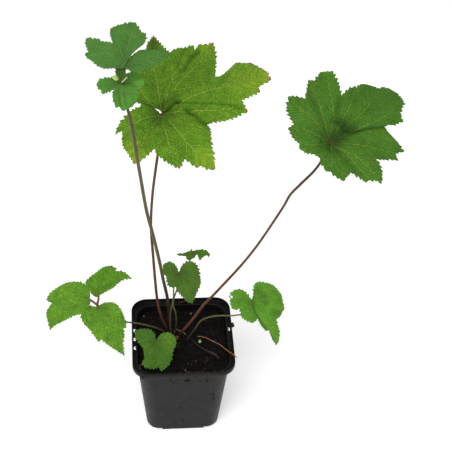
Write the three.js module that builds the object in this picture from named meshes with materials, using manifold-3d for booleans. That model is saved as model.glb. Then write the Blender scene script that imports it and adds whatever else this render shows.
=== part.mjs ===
// Potted Japanese anemone: a young plant with lobed, toothed leaves in a square nursery pot.
// Millimetres, +Z up. The origin is the middle of the pot's base, and the pot's sides run along X and Y.
import * as THREE from "three";
import { mergeVertices } from "three/addons/utils/BufferGeometryUtils.js";
import Module from "manifold-3d";

const wasm = await Module();
wasm.setup();

// Clearance between pieces that touch, and how far a cutting shape runs past a face.
const GAP = 0.3;
const PAST = 1;

// The pot: a tapered square body, a ledge and an upright collar with rounded corners. It stands on
// the cross of its floor between the raised corners, which hold the drain holes.
const POT = {
  height: 94, wall: 1,
  rimHalf: 45, rimCorner: 14, rimHeight: 5,
  bodyHalf: 41, bodyCorner: 15.5,
  baseHalf: 33, baseCorner: 12,
  floor: 1.2, lift: 2.6, footHalf: 19,
  ledgeHole: 1.5, ledgeHoleStep: 10.3,
  drain: 3.2, drainReach: 24.2,
};
const CORNER_STEPS = 5;

// The soil's level in the pot, the size of its lumps, and the spacing of the points that carry them.
const SOIL = { level: 84, lump: 0.6, spacing: 7.5 };

// The rhizome lies under the soil, and its roots run down to the pot's floor.
const RHIZOME = {
  from: [-18, 15.5, 69], to: [9, 2, 69], radius: 5.2,
  knob: [-4.6, 4.6], knobRadius: 1.8, knobTop: 85.6,
  roots: 7, rootRadius: 1.3, rootReach: 25, rootFloor: 12,
};
// Where the stalks' feet lie in the soil, and the straight stretch with which they meet a blade.
const STALK_FOOT = 75.2;
const STALK_LEAD = 3.8;

// Leaf blades: thickness, the spacing and depth of the teeth, and the spacing of the inner points.
const BLADE = { thick: 0.7, tooth: 1.1, pitch: 6, grid: 11 };
const LEAFLET = { thick: 0.7, tooth: 0.7, pitch: 4.5, grid: 7 };

const COLORS = {
  pot: 0x2b2c2f, soil: 0x17120f, root: 0x8a6a45, leaf: 0x4c8026, bright: 0x569a2c,
  blue: 0x468a34, dark: 0x3f7024, purple: 0x5a4438, red: 0x62301f, olive: 0x6a6a32,
  bud: 0xb4c46a, orange: 0xb0662c, dead: 0x3b2a22, twig: 0xa88060, seed: 0xa6c46a,
};

function material(color, roughness = 0.6) {
  return new THREE.MeshStandardMaterial({ color, roughness, metalness: 0 });
}

function vector([x, y, z]) {
  return new THREE.Vector3(x, y, z);
}

// A closed geometry from a list of points and a list of triangles.
function geometryOf(points, triangles) {
  const geometry = new THREE.BufferGeometry();
  const flat = points.flatMap((p) => [p.x, p.y, p.z]);
  geometry.setAttribute("position", new THREE.Float32BufferAttribute(flat, 3));
  geometry.setIndex(triangles.flat());
  return geometry;
}

// A geometry as a solid that can be joined and cut.
function solidOf(geometry) {
  const bare = geometry.clone();
  bare.deleteAttribute("normal");
  bare.deleteAttribute("uv");
  const merged = mergeVertices(bare, 1e-4);
  return new wasm.Manifold(new wasm.Mesh({
    numProp: 3,
    vertProperties: new Float32Array(merged.attributes.position.array),
    triVerts: new Uint32Array(merged.index.array),
  }));
}

// A solid back as a geometry.
function geometryFrom(solid) {
  const { vertProperties, triVerts } = solid.getMesh();
  const geometry = new THREE.BufferGeometry();
  geometry.setAttribute("position", new THREE.BufferAttribute(new Float32Array(vertProperties), 3));
  geometry.setIndex(new THREE.BufferAttribute(new Uint32Array(triVerts), 1));
  return geometry;
}

function meshOf(name, geometry, paint) {
  const shaded = geometry.index ? geometry.toNonIndexed() : geometry;
  shaded.computeVertexNormals();
  const mesh = new THREE.Mesh(shaded, paint);
  mesh.name = name;
  return mesh;
}

// The corners of a square with rounded corners at height z, counter-clockwise.
function roundedSquare(half, corner, z) {
  const points = [];
  for (let side = 0; side < 4; side++) {
    const middle = Math.PI / 4 + (side * Math.PI) / 2;
    const reach = (half - corner) * Math.SQRT2;
    for (let step = 0; step <= CORNER_STEPS; step++) {
      const turn = middle - Math.PI / 4 + (step / CORNER_STEPS) * (Math.PI / 2);
      points.push(new THREE.Vector3(
        reach * Math.cos(middle) + corner * Math.cos(turn),
        reach * Math.sin(middle) + corner * Math.sin(turn),
        z,
      ));
    }
  }
  return points;
}

// The side walls between rings of equal length, as triangles that face out.
function walls(rings, size) {
  const triangles = [];
  for (let ring = 0; ring + 1 < rings; ring++) {
    for (let i = 0; i < size; i++) {
      const j = (i + 1) % size;
      const [a, b] = [ring * size + i, ring * size + j];
      triangles.push([a, b, b + size], [a, b + size, a + size]);
    }
  }
  return triangles;
}

// A solid skin over rings of equal length, closed at both ends by a fan.
function loft(rings) {
  const size = rings[0].length;
  const triangles = walls(rings.length, size);
  const last = (rings.length - 1) * size;
  for (let i = 1; i + 1 < size; i++) {
    triangles.push([0, i + 1, i], [last, last + i, last + i + 1]);
  }
  return geometryOf(rings.flat(), triangles);
}

// A tube of changing radius along a curve, with flat ends.
function tube(curve, radiusAt, steps, sides) {
  const frames = curve.computeFrenetFrames(steps, false);
  const rings = [];
  for (let step = 0; step <= steps; step++) {
    const middle = curve.getPointAt(step / steps);
    const radius = radiusAt(step / steps);
    const ring = [];
    for (let side = 0; side < sides; side++) {
      const turn = (side / sides) * 2 * Math.PI;
      ring.push(middle.clone()
        .addScaledVector(frames.normals[step], radius * Math.cos(turn))
        .addScaledVector(frames.binormals[step], radius * Math.sin(turn)));
    }
    rings.push(ring);
  }
  return loft(rings);
}

function routeOf(points) {
  return new THREE.CatmullRomCurve3(points, false, "centripetal");
}

// A radius that changes evenly from each value of a list to the next.
function taper(...radii) {
  return (share) => {
    const reach = share * (radii.length - 1);
    const k = Math.min(Math.floor(reach), radii.length - 2);
    return THREE.MathUtils.lerp(radii[k], radii[k + 1], reach - k);
  };
}

function area2(a, b, c) {
  return (b.x - a.x) * (c.y - a.y) - (b.y - a.y) * (c.x - a.x);
}

function holds(face, points, p) {
  const [a, b, c] = face.map((i) => points[i]);
  return area2(a, b, p) > 0 && area2(b, c, p) > 0 && area2(c, a, p) > 0;
}

// Whether p lies inside the circle through a, b and c, which run counter-clockwise.
function inCircle(a, b, c, p) {
  const [ax, ay, bx, by] = [a.x - p.x, a.y - p.y, b.x - p.x, b.y - p.y];
  const [cx, cy] = [c.x - p.x, c.y - p.y];
  const [a2, b2, c2] = [ax * ax + ay * ay, bx * bx + by * by, cx * cx + cy * cy];
  return ax * (by * c2 - b2 * cy) - ay * (bx * c2 - b2 * cx) + a2 * (bx * cy - by * cx) > 1e-9;
}

// Turns the shared edge of two triangles wherever that makes both of them fuller.
function flipEdges(faces, points) {
  let turned = true;
  for (let pass = 0; turned && pass < 60; pass++) {
    turned = false;
    const owner = new Map();
    faces.forEach((face, k) => {
      for (let i = 0; i < 3; i++) owner.set(`${face[i]} ${face[(i + 1) % 3]}`, k);
    });
    const moved = new Set();
    faces.forEach((face, k) => {
      for (let i = 0; i < 3 && !moved.has(k); i++) {
        const [a, b, c] = [face[i], face[(i + 1) % 3], face[(i + 2) % 3]];
        const other = owner.get(`${b} ${a}`);
        if (other === undefined || moved.has(other)) continue;
        const d = faces[other].find((v) => v !== a && v !== b);
        const convex = area2(points[c], points[a], points[d]) > 1e-6
          && area2(points[d], points[b], points[c]) > 1e-6;
        if (!convex || !inCircle(points[a], points[b], points[c], points[d])) continue;
        faces[k] = [c, a, d];
        faces[other] = [d, b, c];
        moved.add(k).add(other);
        turned = true;
      }
    });
  }
}

// Splits the area inside an outline into triangles that also pass through the inner points.
function fill(outline, inner) {
  const points = [...outline];
  const faces = THREE.ShapeUtils.triangulateShape(outline, [])
    .map(([a, b, c]) => (area2(points[a], points[b], points[c]) > 0 ? [a, b, c] : [a, c, b]));
  for (const p of inner) {
    const k = faces.findIndex((face) => holds(face, points, p));
    if (k < 0) continue;
    const [a, b, c] = faces[k];
    const added = points.push(p) - 1;
    faces.splice(k, 1, [a, b, added], [b, c, added], [c, a, added]);
  }
  flipEdges(faces, points);
  return { points, faces };
}

// How far p is from the nearest stretch of an outline.
function clearance(p, outline) {
  return Math.min(...outline.map((a, i) => {
    const b = outline[(i + 1) % outline.length];
    const along = b.clone().sub(a);
    const share = THREE.MathUtils.clamp(p.clone().sub(a).dot(along) / along.lengthSq(), 0, 1);
    return p.distanceTo(a.clone().addScaledVector(along, share));
  }));
}

// Points in staggered rows over the box of an outline that keep clear of its edge.
function staggered(outline, spacing) {
  const box = new THREE.Box2().setFromPoints(outline);
  const points = [];
  const rise = spacing * Math.sqrt(0.75);
  for (let row = 0; box.min.y + row * rise < box.max.y; row++) {
    for (let x = box.min.x + (row % 2) * spacing * 0.5; x < box.max.x; x += spacing) {
      const p = new THREE.Vector2(x + 0.137, box.min.y + row * rise + 0.219);
      if (clearance(p, outline) > spacing * 0.4) points.push(p);
    }
  }
  return points;
}

// A blade's edge: its corners, with small teeth between them that lean towards the outer corner.
function toothed(corners, { tooth, pitch }) {
  const outline = [];
  corners.forEach(([x, y], i) => {
    const [nextX, nextY] = corners[(i + 1) % corners.length];
    const length = Math.hypot(nextX - x, nextY - y);
    const teeth = Math.round(length / pitch);
    const lean = Math.hypot(nextX, nextY) > Math.hypot(x, y) ? 0.72 : 0.28;
    const along = new THREE.Vector2(nextX - x, nextY - y);
    const out = new THREE.Vector2(along.y, -along.x).multiplyScalar(tooth / length);
    const at = (share, rise) => new THREE.Vector2(x, y).addScaledVector(along, share)
      .addScaledVector(out, rise);
    outline.push(new THREE.Vector2(x, y));
    for (let k = 0; k < teeth; k++) {
      outline.push(at((k + lean) / teeth, 0.4));
      if (k + 1 < teeth) outline.push(at((k + 1) / teeth, -0.6));
    }
  });
  return outline;
}

// A blade's height above its own flat plane. cup is the funnel over the stalk, keel the fold along
// the middle, droop and bend the fall towards the edge and the tip, and wave the ripple of the rim.
function heightOf(x, y, { cup = 0, keel = 0, droop = 0, bend = 0, wave = 0, folds = 5 }) {
  const out = Math.hypot(x, y);
  return cup * (1 - Math.exp(-out / 8))
    + keel * (Math.hypot(y, 3) - 3)
    - droop * out * out
    - bend * Math.max(x, 0) ** 2
    + wave * out * out * Math.cos(folds * Math.atan2(y, x));
}

// The leaves. Each blade has its own flat frame: the stalk joins it at [0, 0], +X runs along heading
// and +Z along normal. Its edge lists the tips and the dips between them, counter-clockwise.
const BLADES = {
  blade_large_left: {
    at: [-17.2, 28, 318.3], normal: [-0.05, -0.46, 0.89], heading: [1, 0.3, 0], color: "bright",
    size: BLADE, form: { cup: 4, droop: 0.0016, wave: 0.0009, folds: 7 },
    edge: [
      [-1, -1.5], [-4.5, 4.5], [-8.5, 8.5], [-14, 9.5], [-23, 8], [-35, 0], [-39, -6], [-33, -5],
      [-36, -18], [-34, -25], [-32, -33], [-22, -31], [-14, -27], [-12, -35], [-5, -44], [0, -48],
      [6, -41], [9, -45], [13, -50], [16, -49], [21, -54], [26, -55], [28, -46], [29, -37],
      [32, -23], [31, -18], [46, -19], [55, -18], [65, -16], [63, -7], [70, -6], [79, -4],
      [79, 0], [91, 4], [90, 14], [83, 28], [71, 31], [54, 20], [50, 20], [54, 31],
      [57, 40], [58, 50], [47, 48], [41, 46], [39, 50], [32, 52], [26, 52], [21, 51],
      [19, 59], [17, 67], [15, 74], [7, 64], [-1, 58], [-11, 48], [-17, 35], [-18, 25],
      [-15, 15], [-6.5, 11], [-1, 6], [0.5, 1.5],
    ],
  },
  blade_large_right: {
    at: [112.6, 6, 304.9], normal: [0.08, -0.5, 0.86], heading: [-1, 0.1, 0], color: "leaf",
    size: BLADE, form: { cup: 5, droop: 0.0022, wave: 0.0012, folds: 7 },
    edge: [
      [-2, -1.4], [-8, -5], [-14, -8.8], [-24, -12], [-42, -15.6], [-52, -19], [-59, -23],
      [-58, -33], [-61, -41], [-60, -48], [-56, -56], [-52, -59], [-46, -59], [-43, -56],
      [-36, -56], [-26, -54], [-18, -50], [-7, -39], [-7, -44], [-6, -51], [-2, -63], [7, -63],
      [12, -54], [17, -54], [21, -34], [28, -35], [34, -35], [35, -25], [31, -15], [29, -12],
      [34, -8], [30, 1], [25, 5], [25, 8], [19, 12], [15, 12], [9, 15], [8, 19], [3, 25],
      [0, 25], [-4, 29], [-10, 32], [-16, 24], [-24, 27], [-29, 30], [-31, 28], [-36, 28],
      [-41, 30], [-41, 22], [-39, 15], [-36, 11], [-45, 10], [-50, 8], [-56, 8], [-54, 2],
      [-62, -2], [-55, -8], [-48, -11], [-42, -14.2], [-24, -10.6], [-14, -7.6], [-8, -3.8],
      [-3, 0.5],
    ],
  },
  leaflet_left_back: {
    at: [-73.7, 5, 141.3], normal: [0.1, -0.45, 0.88], heading: [0.9, 0.5, 0], color: "bright",
    size: LEAFLET, form: { keel: 0.12, bend: 0.004, wave: 0.001 },
    edge: [
      [-1, -0.6], [3, 0], [10, 0.6], [16, 1], [22, 3], [28, 4], [35, 2], [33, 8], [30, 12],
      [25, 14], [27, 16], [24, 20], [19, 21], [15, 21], [7, 19], [2, 18], [-3, 16], [-4, 13],
      [-3, 6],
    ],
  },
  leaflet_left_side: {
    at: [-80.4, 3.4, 139.2], normal: [-0.3, -0.5, 0.81], heading: [-1, -0.15, -0.2], color: "bright",
    size: LEAFLET, form: { keel: 0.1, bend: 0.004, wave: 0.001 },
    edge: [
      [-1, -1], [-1, -7], [0, -12], [2, -17], [8, -20], [13, -22], [20, -22], [23, -21],
      [30, -20], [36, -18], [40, -14], [35, -9], [41, -5], [43, -1], [43, 6], [43, 13], [38, 11],
      [27, 10], [16, 9], [10, 9], [8, 7], [2, 5], [-0.5, 2],
    ],
  },
  leaflet_left_front: {
    at: [-72.2, 0, 132.7], normal: [0.12, -0.72, 0.68], heading: [0.4, -0.8, -0.8],
    color: "bright", size: LEAFLET, form: { keel: 0.1, bend: 0.003, wave: 0.001 },
    edge: [
      [-1, 0], [-2, -3], [-4, -8], [-1, -15], [2, -17], [9, -17], [14, -15], [28, -11], [27, -8],
      [34, -4], [41, 1], [48, 6], [36, 9], [31, 12], [25, 13], [25, 16], [19, 17], [11, 17],
      [3, 15], [0, 12], [-2, 6], [-2, 2],
    ],
  },
  blade_front: {
    at: [-23.6, -13, 100.7], normal: [0, -0.4, 0.92], heading: [0.2, -1, -0.3], color: "bright",
    size: LEAFLET, form: { keel: 0.1, bend: 0.006, droop: 0.002 },
    edge: [
      [-1.2, 0], [-8, 0], [-12, -3], [-14, -9], [-14, -15], [-13, -17], [-9, -17], [-1, -15],
      [3, -13], [9, -13], [13, -14], [17, -17], [21, -13], [23, -6], [22, -3], [26, -1],
      [23, 5], [18, 10], [13, 12], [7, 16], [3, 17], [-2, 16], [-6, 12], [-6, 7], [-4, 3],
    ],
  },
  blade_middle: {
    at: [-3.8, -6, 176.8], normal: [0.05, -0.8, 0.6], heading: [0.3, -0.6, -0.8], color: "dark",
    size: LEAFLET, form: { keel: 0.1, bend: 0.004, droop: 0.002 },
    edge: [
      [-2, 0], [-6, 0], [-11, -2], [-13, -5], [-12, -10], [-9, -12], [-5, -13], [-2, -11],
      [3, -12], [8, -11], [9, -8], [8, -5], [12, -5], [17, -3], [21, 0], [24, -1], [26, 2],
      [26, 4], [22, 6], [17, 11], [13, 15], [8, 16], [2, 17], [-4, 16], [-8, 12], [-8, 8],
      [-6, 4], [-2.5, 1.2],
    ],
  },
  blade_right_low: {
    at: [60.9, 4, 130.2], normal: [0.22, -0.55, 0.81], heading: [0.75, -0.65, -0.3],
    color: "bright", size: LEAFLET, form: { keel: 0.1, bend: 0.003, droop: 0.002 },
    edge: [
      [-1.2, 1], [-6, 2], [-11, 2], [-15, 0], [-18, -4], [-19, -9], [-18, -12], [-14, -14],
      [-9, -18], [-5, -16], [-4, -13], [-1, -15], [2, -17], [6, -17], [13, -14], [14, -11],
      [14, -7], [20, -9], [27, -9], [29, -6], [37, -9], [43, -10], [43, -6], [37, 1], [30, 4],
      [27, 6], [28, 9], [27, 14], [26, 18], [21, 21], [16, 24], [8, 25], [2, 24], [-3, 21],
      [-7, 18], [-9, 14], [-8, 11], [-3, 5],
    ],
  },
  young_left: {
    at: [3.6, 13, 181.4], normal: [-0.1, 0.05, 0.99], heading: [-1, 0, 0], color: "dark",
    size: LEAFLET, form: { keel: 0.1, bend: 0.004 },
    edge: [[-1, -3], [1, -3], [5, -2], [9, -2], [5, 1], [0, 3], [-1.2, 2]],
  },
  young_right: {
    at: [10, 13, 182], normal: [0.12, -0.12, 0.98], heading: [1, -0.1, 0], color: "dark",
    size: LEAFLET, form: { keel: 0.1, bend: 0.01 },
    edge: [
      [-1.2, -2], [1, -2], [2, 0], [3, -1], [4, -4], [5, -6], [8, 0], [10, 1], [13, 0], [13, 4],
      [10, 6], [5, 5], [1, 4], [-1.2, 2],
    ],
  },
  whorl_low_left: {
    at: [-52.1, -31, 389.7], normal: [-0.15, -0.45, 0.88], heading: [-1, -0.1, 0], color: "blue",
    size: LEAFLET, form: { keel: 0.1, bend: 0.006 },
    edge: [
      [-1, -1], [0, -4], [3, -5], [7, -5], [9, -3], [11, -2], [11, 1], [9, 4], [8, 6], [3, 6],
      [0, 4], [-1, 2],
    ],
  },
  whorl_low_front: {
    at: [-47, -37, 390], normal: [0.05, -0.72, 0.69], heading: [0.2, -0.7, -0.7], color: "blue",
    size: LEAFLET, form: { keel: 0.12, bend: 0.008 },
    edge: [
      [-1, -1], [0, -5], [5, -7], [10, -6], [12, -5], [11, -4], [15, -2], [13, 1], [12, 4],
      [14, 6], [11, 7], [10, 9], [7, 10], [4, 9], [1, 4.5], [-0.5, 1],
    ],
  },
  whorl_low_right: {
    at: [-42.7, -30, 388.3], normal: [0.1, -0.5, 0.86], heading: [1, 0.1, 0], color: "blue",
    size: LEAFLET, form: { keel: 0.12, bend: 0.006 },
    edge: [[-1, -1], [3, -3], [8, -5], [12, -4], [14, 0], [12, 4], [9, 6], [6, 6], [2, 4], [-1, 1]],
  },
  whorl_high_left: {
    at: [-47, -34, 407], normal: [-0.12, -0.45, 0.88], heading: [-1, 0.25, 0], color: "blue",
    size: LEAFLET, form: { keel: 0.1, bend: 0.004, wave: 0.001 },
    edge: [
      [-1, -1], [4, -8], [9, -15], [13, -16], [16, -16], [19, -18], [23, -18], [25, -19],
      [28, -18], [28, -15], [26, -11], [24, -8], [26, -6], [24, -3], [20, -1], [16, 2], [10, 4],
      [4, 2], [-1, 1.4],
    ],
  },
  whorl_high_back: {
    at: [-44, -31, 409.4], normal: [0, -0.52, 0.85], heading: [0.2, 1, 0.1], color: "blue",
    size: LEAFLET, form: { keel: 0.1, bend: 0.004, wave: 0.001 },
    edge: [
      [-1, -1], [4, -3.5], [11, -8], [17, -11], [21, -11], [23, -10], [24, -7], [28, -5],
      [31, -2], [31, 1], [29, 5], [26, 9], [22, 13], [20, 14], [16, 13], [11, 10], [5, 5], [-1, 1],
    ],
  },
  whorl_high_right: {
    at: [-41, -33.5, 406], normal: [0.12, -0.45, 0.88], heading: [1, 0.2, 0], color: "blue",
    size: LEAFLET, form: { keel: 0.1, bend: 0.004 },
    edge: [
      [-1, -1.5], [3, -4], [11, -4], [19, -1], [25, 3], [31, 8], [26, 10], [14, 10], [10, 10],
      [7, 8], [4, 5], [-1, 1.5],
    ],
  },
  whorl_young_leaf: {
    at: [-46.6, -39.8, 397], normal: [0, -0.75, 0.66], heading: [-0.3, 0.5, 0.8], color: "dark",
    size: LEAFLET, form: { keel: 0.25 },
    edge: [
      [-1, -1], [2, -4], [4, -4], [7, -3], [8, -1], [9, 1], [7, 2], [5, 3], [3, 2], [-1, 1],
    ],
  },
};

// A blade's own frame in the plant.
function frameOf({ at, normal, heading }) {
  const up = vector(normal).normalize();
  const along = vector(heading);
  along.addScaledVector(up, -along.dot(up)).normalize();
  const across = up.clone().cross(along);
  return new THREE.Matrix4().makeBasis(along, across, up).setPosition(vector(at));
}

// A leaf blade: the same triangles on its upper and its lower face, and a rim between them.
function bladeGeometry({ edge, form, size }) {
  const outline = toothed(edge, size);
  const seat = new THREE.Vector2(0, 0);
  const inner = staggered(outline, size.grid).filter((p) => p.distanceTo(seat) > size.grid * 0.5);
  const { points, faces } = fill(outline, [seat, ...inner]);
  const lift = (p, drop) => new THREE.Vector3(p.x, p.y, heightOf(p.x, p.y, form) - drop);
  const under = points.length;
  const triangles = [];
  for (const [a, b, c] of faces) triangles.push([a, b, c], [under + a, under + c, under + b]);
  outline.forEach((p, i) => {
    const j = (i + 1) % outline.length;
    triangles.push([under + i, under + j, j], [under + i, j, i]);
  });
  const all = [...points.map((p) => lift(p, 0)), ...points.map((p) => lift(p, size.thick))];
  return geometryOf(all, triangles);
}

// A point under a blade's joint, as far below its upper face as drop says.
function seatOf(blade, drop) {
  return new THREE.Vector3(0, 0, -drop).applyMatrix4(frameOf(BLADES[blade]));
}

// Buds: a round flower bud on the tall stem and the shoot tip between the youngest leaves.
const BUDS = {
  flower_bud: { at: [-50, -34, 394.2], axis: [-0.5, -0.1, 1], length: 4.5, radius: 2 },
  shoot_tip: { at: [6.6, 13.2, 180], axis: [0.1, 0.05, 1], length: 6.5, radius: 1.2 },
};

// The stalks. Each stands in the soil at foot, passes through the points of via and ends under the
// blade that carries names. thick lists its radii from the foot to the end. A branch leaves it at
// from and ends under a blade or a bud.
const STALKS = {
  stem_tall: {
    foot: [-9.5, 16], thick: [1.3, 1.15, 1.05, 0.95], color: "purple", steps: 24,
    via: [
      [-11.5, 15, 110.5], [-13, 12.5, 129], [-16.5, 9, 155], [-19.5, 6.5, 179.5],
      [-25.5, 0, 220.5], [-29.5, -4, 244], [-35, -13.5, 295.5], [-40, -24, 345.5],
      [-45.5, -33, 389], [-44.6, -34.2, 403],
    ],
    branches: [
      { from: [-45.6, -33, 386.5], thick: 0.6, carries: "whorl_low_left" },
      { from: [-45.6, -33, 385], thick: 0.6, carries: "whorl_low_front" },
      { from: [-45.6, -33, 386], thick: 0.6, carries: "whorl_low_right" },
      { from: [-45.4, -33.2, 392], thick: 0.5, carries: "whorl_young_leaf" },
      { from: [-45.5, -33.1, 389.5], thick: 0.5, carries: "flower_bud" },
      { from: [-44.8, -34, 401.5], thick: 0.6, carries: "whorl_high_left" },
      { from: [-44.6, -34.2, 401.5], thick: 0.6, carries: "whorl_high_right" },
    ],
    carries: "whorl_high_back",
  },
  petiole_large_left: {
    foot: [-13.4, 16.4], thick: [1.15, 0.95, 0.85, 0.95], color: "red", steps: 22,
    via: [
      [-17, 16, 96.5], [-20, 16, 110], [-22, 17, 124.5], [-23.5, 18, 146], [-25, 19, 174.5],
      [-26.5, 21, 207.5], [-25, 24, 238.5], [-21, 26.5, 274], [-18.2, 28.4, 296],
    ],
    carries: "blade_large_left",
  },
  petiole_large_right: {
    foot: [-1.7, 8.8], thick: [1.3, 0.9, 0.8, 0.75, 0.8, 0.85], color: "red", steps: 24,
    via: [
      [5, 8, 97.5], [12, 8, 110.5], [18, 7.5, 123.5], [26.5, 7.5, 136], [34.5, 7.5, 148.5],
      [49.5, 7, 173], [62, 6.5, 196.5], [72, 6.5, 218.5], [81.5, 6, 241], [85.5, 6, 252],
      [92.5, 6, 262.5], [102.5, 6, 276.5], [107.8, 6.4, 287],
    ],
    carries: "blade_large_right",
  },
  petiole_middle: {
    foot: [-5.8, 9.6], thick: [0.75, 0.6], color: "olive", steps: 14,
    via: [
      [-5.2, 8, 104], [-5.9, 6.5, 114.8], [-8.1, 4.5, 127.6], [-8.1, 1, 145.8],
      [-8, -0.5, 155.6], [-6.4, -1, 166.8],
    ],
    carries: "blade_middle",
  },
  petiole_young: {
    foot: [-9.5, 8.8], thick: [0.75, 0.6], color: "olive", steps: 14,
    via: [
      [-10.5, 8.8, 94.7], [-10.5, 9, 104.6], [-9.8, 9.5, 116.7], [-7.3, 10.5, 130.7],
      [-4.8, 11.5, 139.9], [0.4, 12.5, 157], [4.6, 13, 169.7], [6.1, 13, 176],
    ],
    branches: [{ from: [6, 13, 175.5], thick: 0.5, carries: "young_left" }],
    carries: "young_right",
  },
  petiole_left_low: {
    foot: [-14.7, 11.2], thick: [0.85, 0.65], color: "olive", steps: 14,
    via: [
      [-19.7, 10.5, 90.3], [-28.7, 9, 96.5], [-40.2, 8, 102], [-50.2, 7, 105.4],
      [-61.1, 5.5, 113.3], [-68.6, 4.5, 122.4],
    ],
    branches: [
      { from: [-70, 4.4, 124.5], thick: 0.55, carries: "leaflet_left_back" },
      { from: [-70, 4.4, 124.5], thick: 0.55, carries: "leaflet_left_side" },
    ],
    carries: "leaflet_left_front",
  },
  petiole_right_low: {
    foot: [4.4, 2.1], thick: [0.8, 0.65], color: "olive", steps: 16,
    via: [
      [7.5, 4.5, 88], [11.3, 6, 94], [17.1, 8, 103], [23.8, 8, 107], [33.3, 7.5, 109.3],
      [44.4, 6.5, 109.9], [55.2, 6, 113.2], [59.4, 6, 121],
    ],
    carries: "blade_right_low",
  },
  petiole_front: {
    foot: [-8.6, 4.6], thick: [0.75, 0.65], color: "olive", steps: 8,
    via: [[-11, 2.8, 88], [-15.5, -3, 93]],
    carries: "blade_front",
  },
};

// A stalk's last two points, which lead it up to just under the blade or the bud that it carries.
function endUnder(name, lead) {
  if (name in BLADES) {
    const drop = BLADES[name].size.thick + GAP;
    return [seatOf(name, drop + lead), seatOf(name, drop)];
  }
  const { at, axis } = BUDS[name];
  const back = (distance) => vector(at).addScaledVector(vector(axis).normalize(), -distance);
  return [back(GAP + lead / 2), back(GAP)];
}

function stalkCurve({ foot: [x, y], via, carries }, below = 0) {
  const start = [new THREE.Vector3(x, y, STALK_FOOT - below), new THREE.Vector3(x, y, SOIL.level)];
  return routeOf([...start, ...via.map(vector), ...endUnder(carries, STALK_LEAD)]);
}

function stalkSolid(stalk) {
  let solid = solidOf(tube(stalkCurve(stalk), taper(...stalk.thick), stalk.steps, 8));
  for (const { from, thick, carries } of stalk.branches ?? []) {
    const curve = routeOf([vector(from), ...endUnder(carries, STALK_LEAD)]);
    solid = solid.add(solidOf(tube(curve, taper(thick * 1.2, thick), 5, 6)));
  }
  return solid;
}

// The hole that a stalk stands in, wider and deeper than the stalk by the gap.
function stalkHole(stalk) {
  const wider = taper(...stalk.thick.map((radius) => radius + GAP));
  return solidOf(tube(stalkCurve(stalk, GAP), wider, stalk.steps, 8));
}

// The rhizome with its roots and the old stem base that breaks the surface, grown by spare.
function rhizomeSolid(spare) {
  const { from, to, radius, knob, knobRadius, knobTop } = RHIZOME;
  const [start, end] = [vector(from), vector(to)];
  const body = new THREE.LineCurve3(
    start.clone().addScaledVector(start.clone().sub(end).normalize(), spare),
    end.clone().addScaledVector(end.clone().sub(start).normalize(), spare),
  );
  const round = (share) => radius * (0.35 + 0.65 * Math.sin(Math.PI * share) ** 0.4) + spare;
  let solid = solidOf(tube(body, round, 10, 10));
  const stub = new THREE.LineCurve3(
    new THREE.Vector3(...knob, from[2]),
    new THREE.Vector3(...knob, knobTop + spare),
  );
  solid = solid.add(solidOf(tube(stub, taper(knobRadius * 1.3 + spare, knobRadius + spare), 3, 8)));
  for (let i = 0; i < RHIZOME.roots; i++) {
    solid = solid.add(rootSolid(start.clone().lerp(end, (i + 0.5) / RHIZOME.roots), i, spare));
  }
  return solid;
}

function rootSolid(start, index, spare) {
  const { roots, rootRadius, rootReach, rootFloor } = RHIZOME;
  const side = index % 2 ? 1 : -1;
  const turn = side * Math.PI * (1 - (index + 0.5) / roots);
  const out = (share, z, twist) => new THREE.Vector3(
    rootReach * share * Math.cos(turn + twist),
    rootReach * share * Math.sin(turn + twist),
    z,
  );
  const curve = routeOf([
    start, start.clone().lerp(out(0.8, 56, 0), 0.5), out(0.95, 44, 0.05), out(1, 28, 0.15),
    out(0.9, rootFloor - spare, 0.3),
  ]);
  return solidOf(tube(curve, taper(rootRadius + spare, rootRadius * 0.6 + spare), 8, 5));
}

// The level of the soil's lumpy top.
function soilTop(x, y) {
  return SOIL.level + SOIL.lump * (Math.sin(0.31 * x + 0.8) * Math.cos(0.27 * y + 0.3)
    + 0.6 * Math.sin(0.5 * y - 0.35 * x));
}

// The inside of the pot at height z: half its width and the radius of its corners.
function insideAt(z) {
  const share = z / (POT.height - POT.rimHeight);
  return {
    half: THREE.MathUtils.lerp(POT.baseHalf, POT.bodyHalf, share) - POT.wall,
    corner: THREE.MathUtils.lerp(POT.baseCorner, POT.bodyCorner, share) - POT.wall,
  };
}

function soilGeometry() {
  const base = POT.floor + GAP;
  const [low, high] = [insideAt(base), insideAt(SOIL.level)];
  const bottom = roundedSquare(low.half - GAP, low.corner, base);
  const top = roundedSquare(high.half - GAP, high.corner, SOIL.level);
  const size = top.length;
  const rim = top.map((p) => new THREE.Vector2(p.x, p.y));
  const { points, faces } = fill(rim, staggered(rim, SOIL.spacing));
  const surface = points.map((p, i) =>
    new THREE.Vector3(p.x, p.y, i < size ? SOIL.level : soilTop(p.x, p.y)));
  const triangles = walls(2, size);
  for (let i = 1; i + 1 < size; i++) triangles.push([0, i + 1, i]);
  for (const face of faces) triangles.push(face.map((v) => v + size));
  return geometryOf([...bottom, ...surface], triangles);
}

// Four blocks, one over each corner of the floor: from near outwards, between two heights.
function cornerBlocks(near, from, to) {
  const far = POT.baseHalf + PAST;
  const reach = (near + far) / 2;
  return [[1, 1], [-1, 1], [-1, -1], [1, -1]]
    .map(([x, y]) => block(far - near, far - near, from, to, reach * x, reach * y))
    .reduce((joined, next) => joined.add(next));
}

function soilSolid() {
  const raised = cornerBlocks(POT.footHalf - POT.wall - GAP, 0, POT.lift + POT.floor + GAP);
  let solid = solidOf(soilGeometry()).subtract(raised).subtract(rhizomeSolid(GAP));
  for (const stalk of Object.values(STALKS)) solid = solid.subtract(stalkHole(stalk));
  return solid;
}

function drill(x, y, radius, from, to) {
  const cutter = new THREE.CylinderGeometry(radius, radius, to - from, 10);
  return solidOf(cutter.rotateX(Math.PI / 2).translate(x, y, (from + to) / 2));
}

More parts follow.
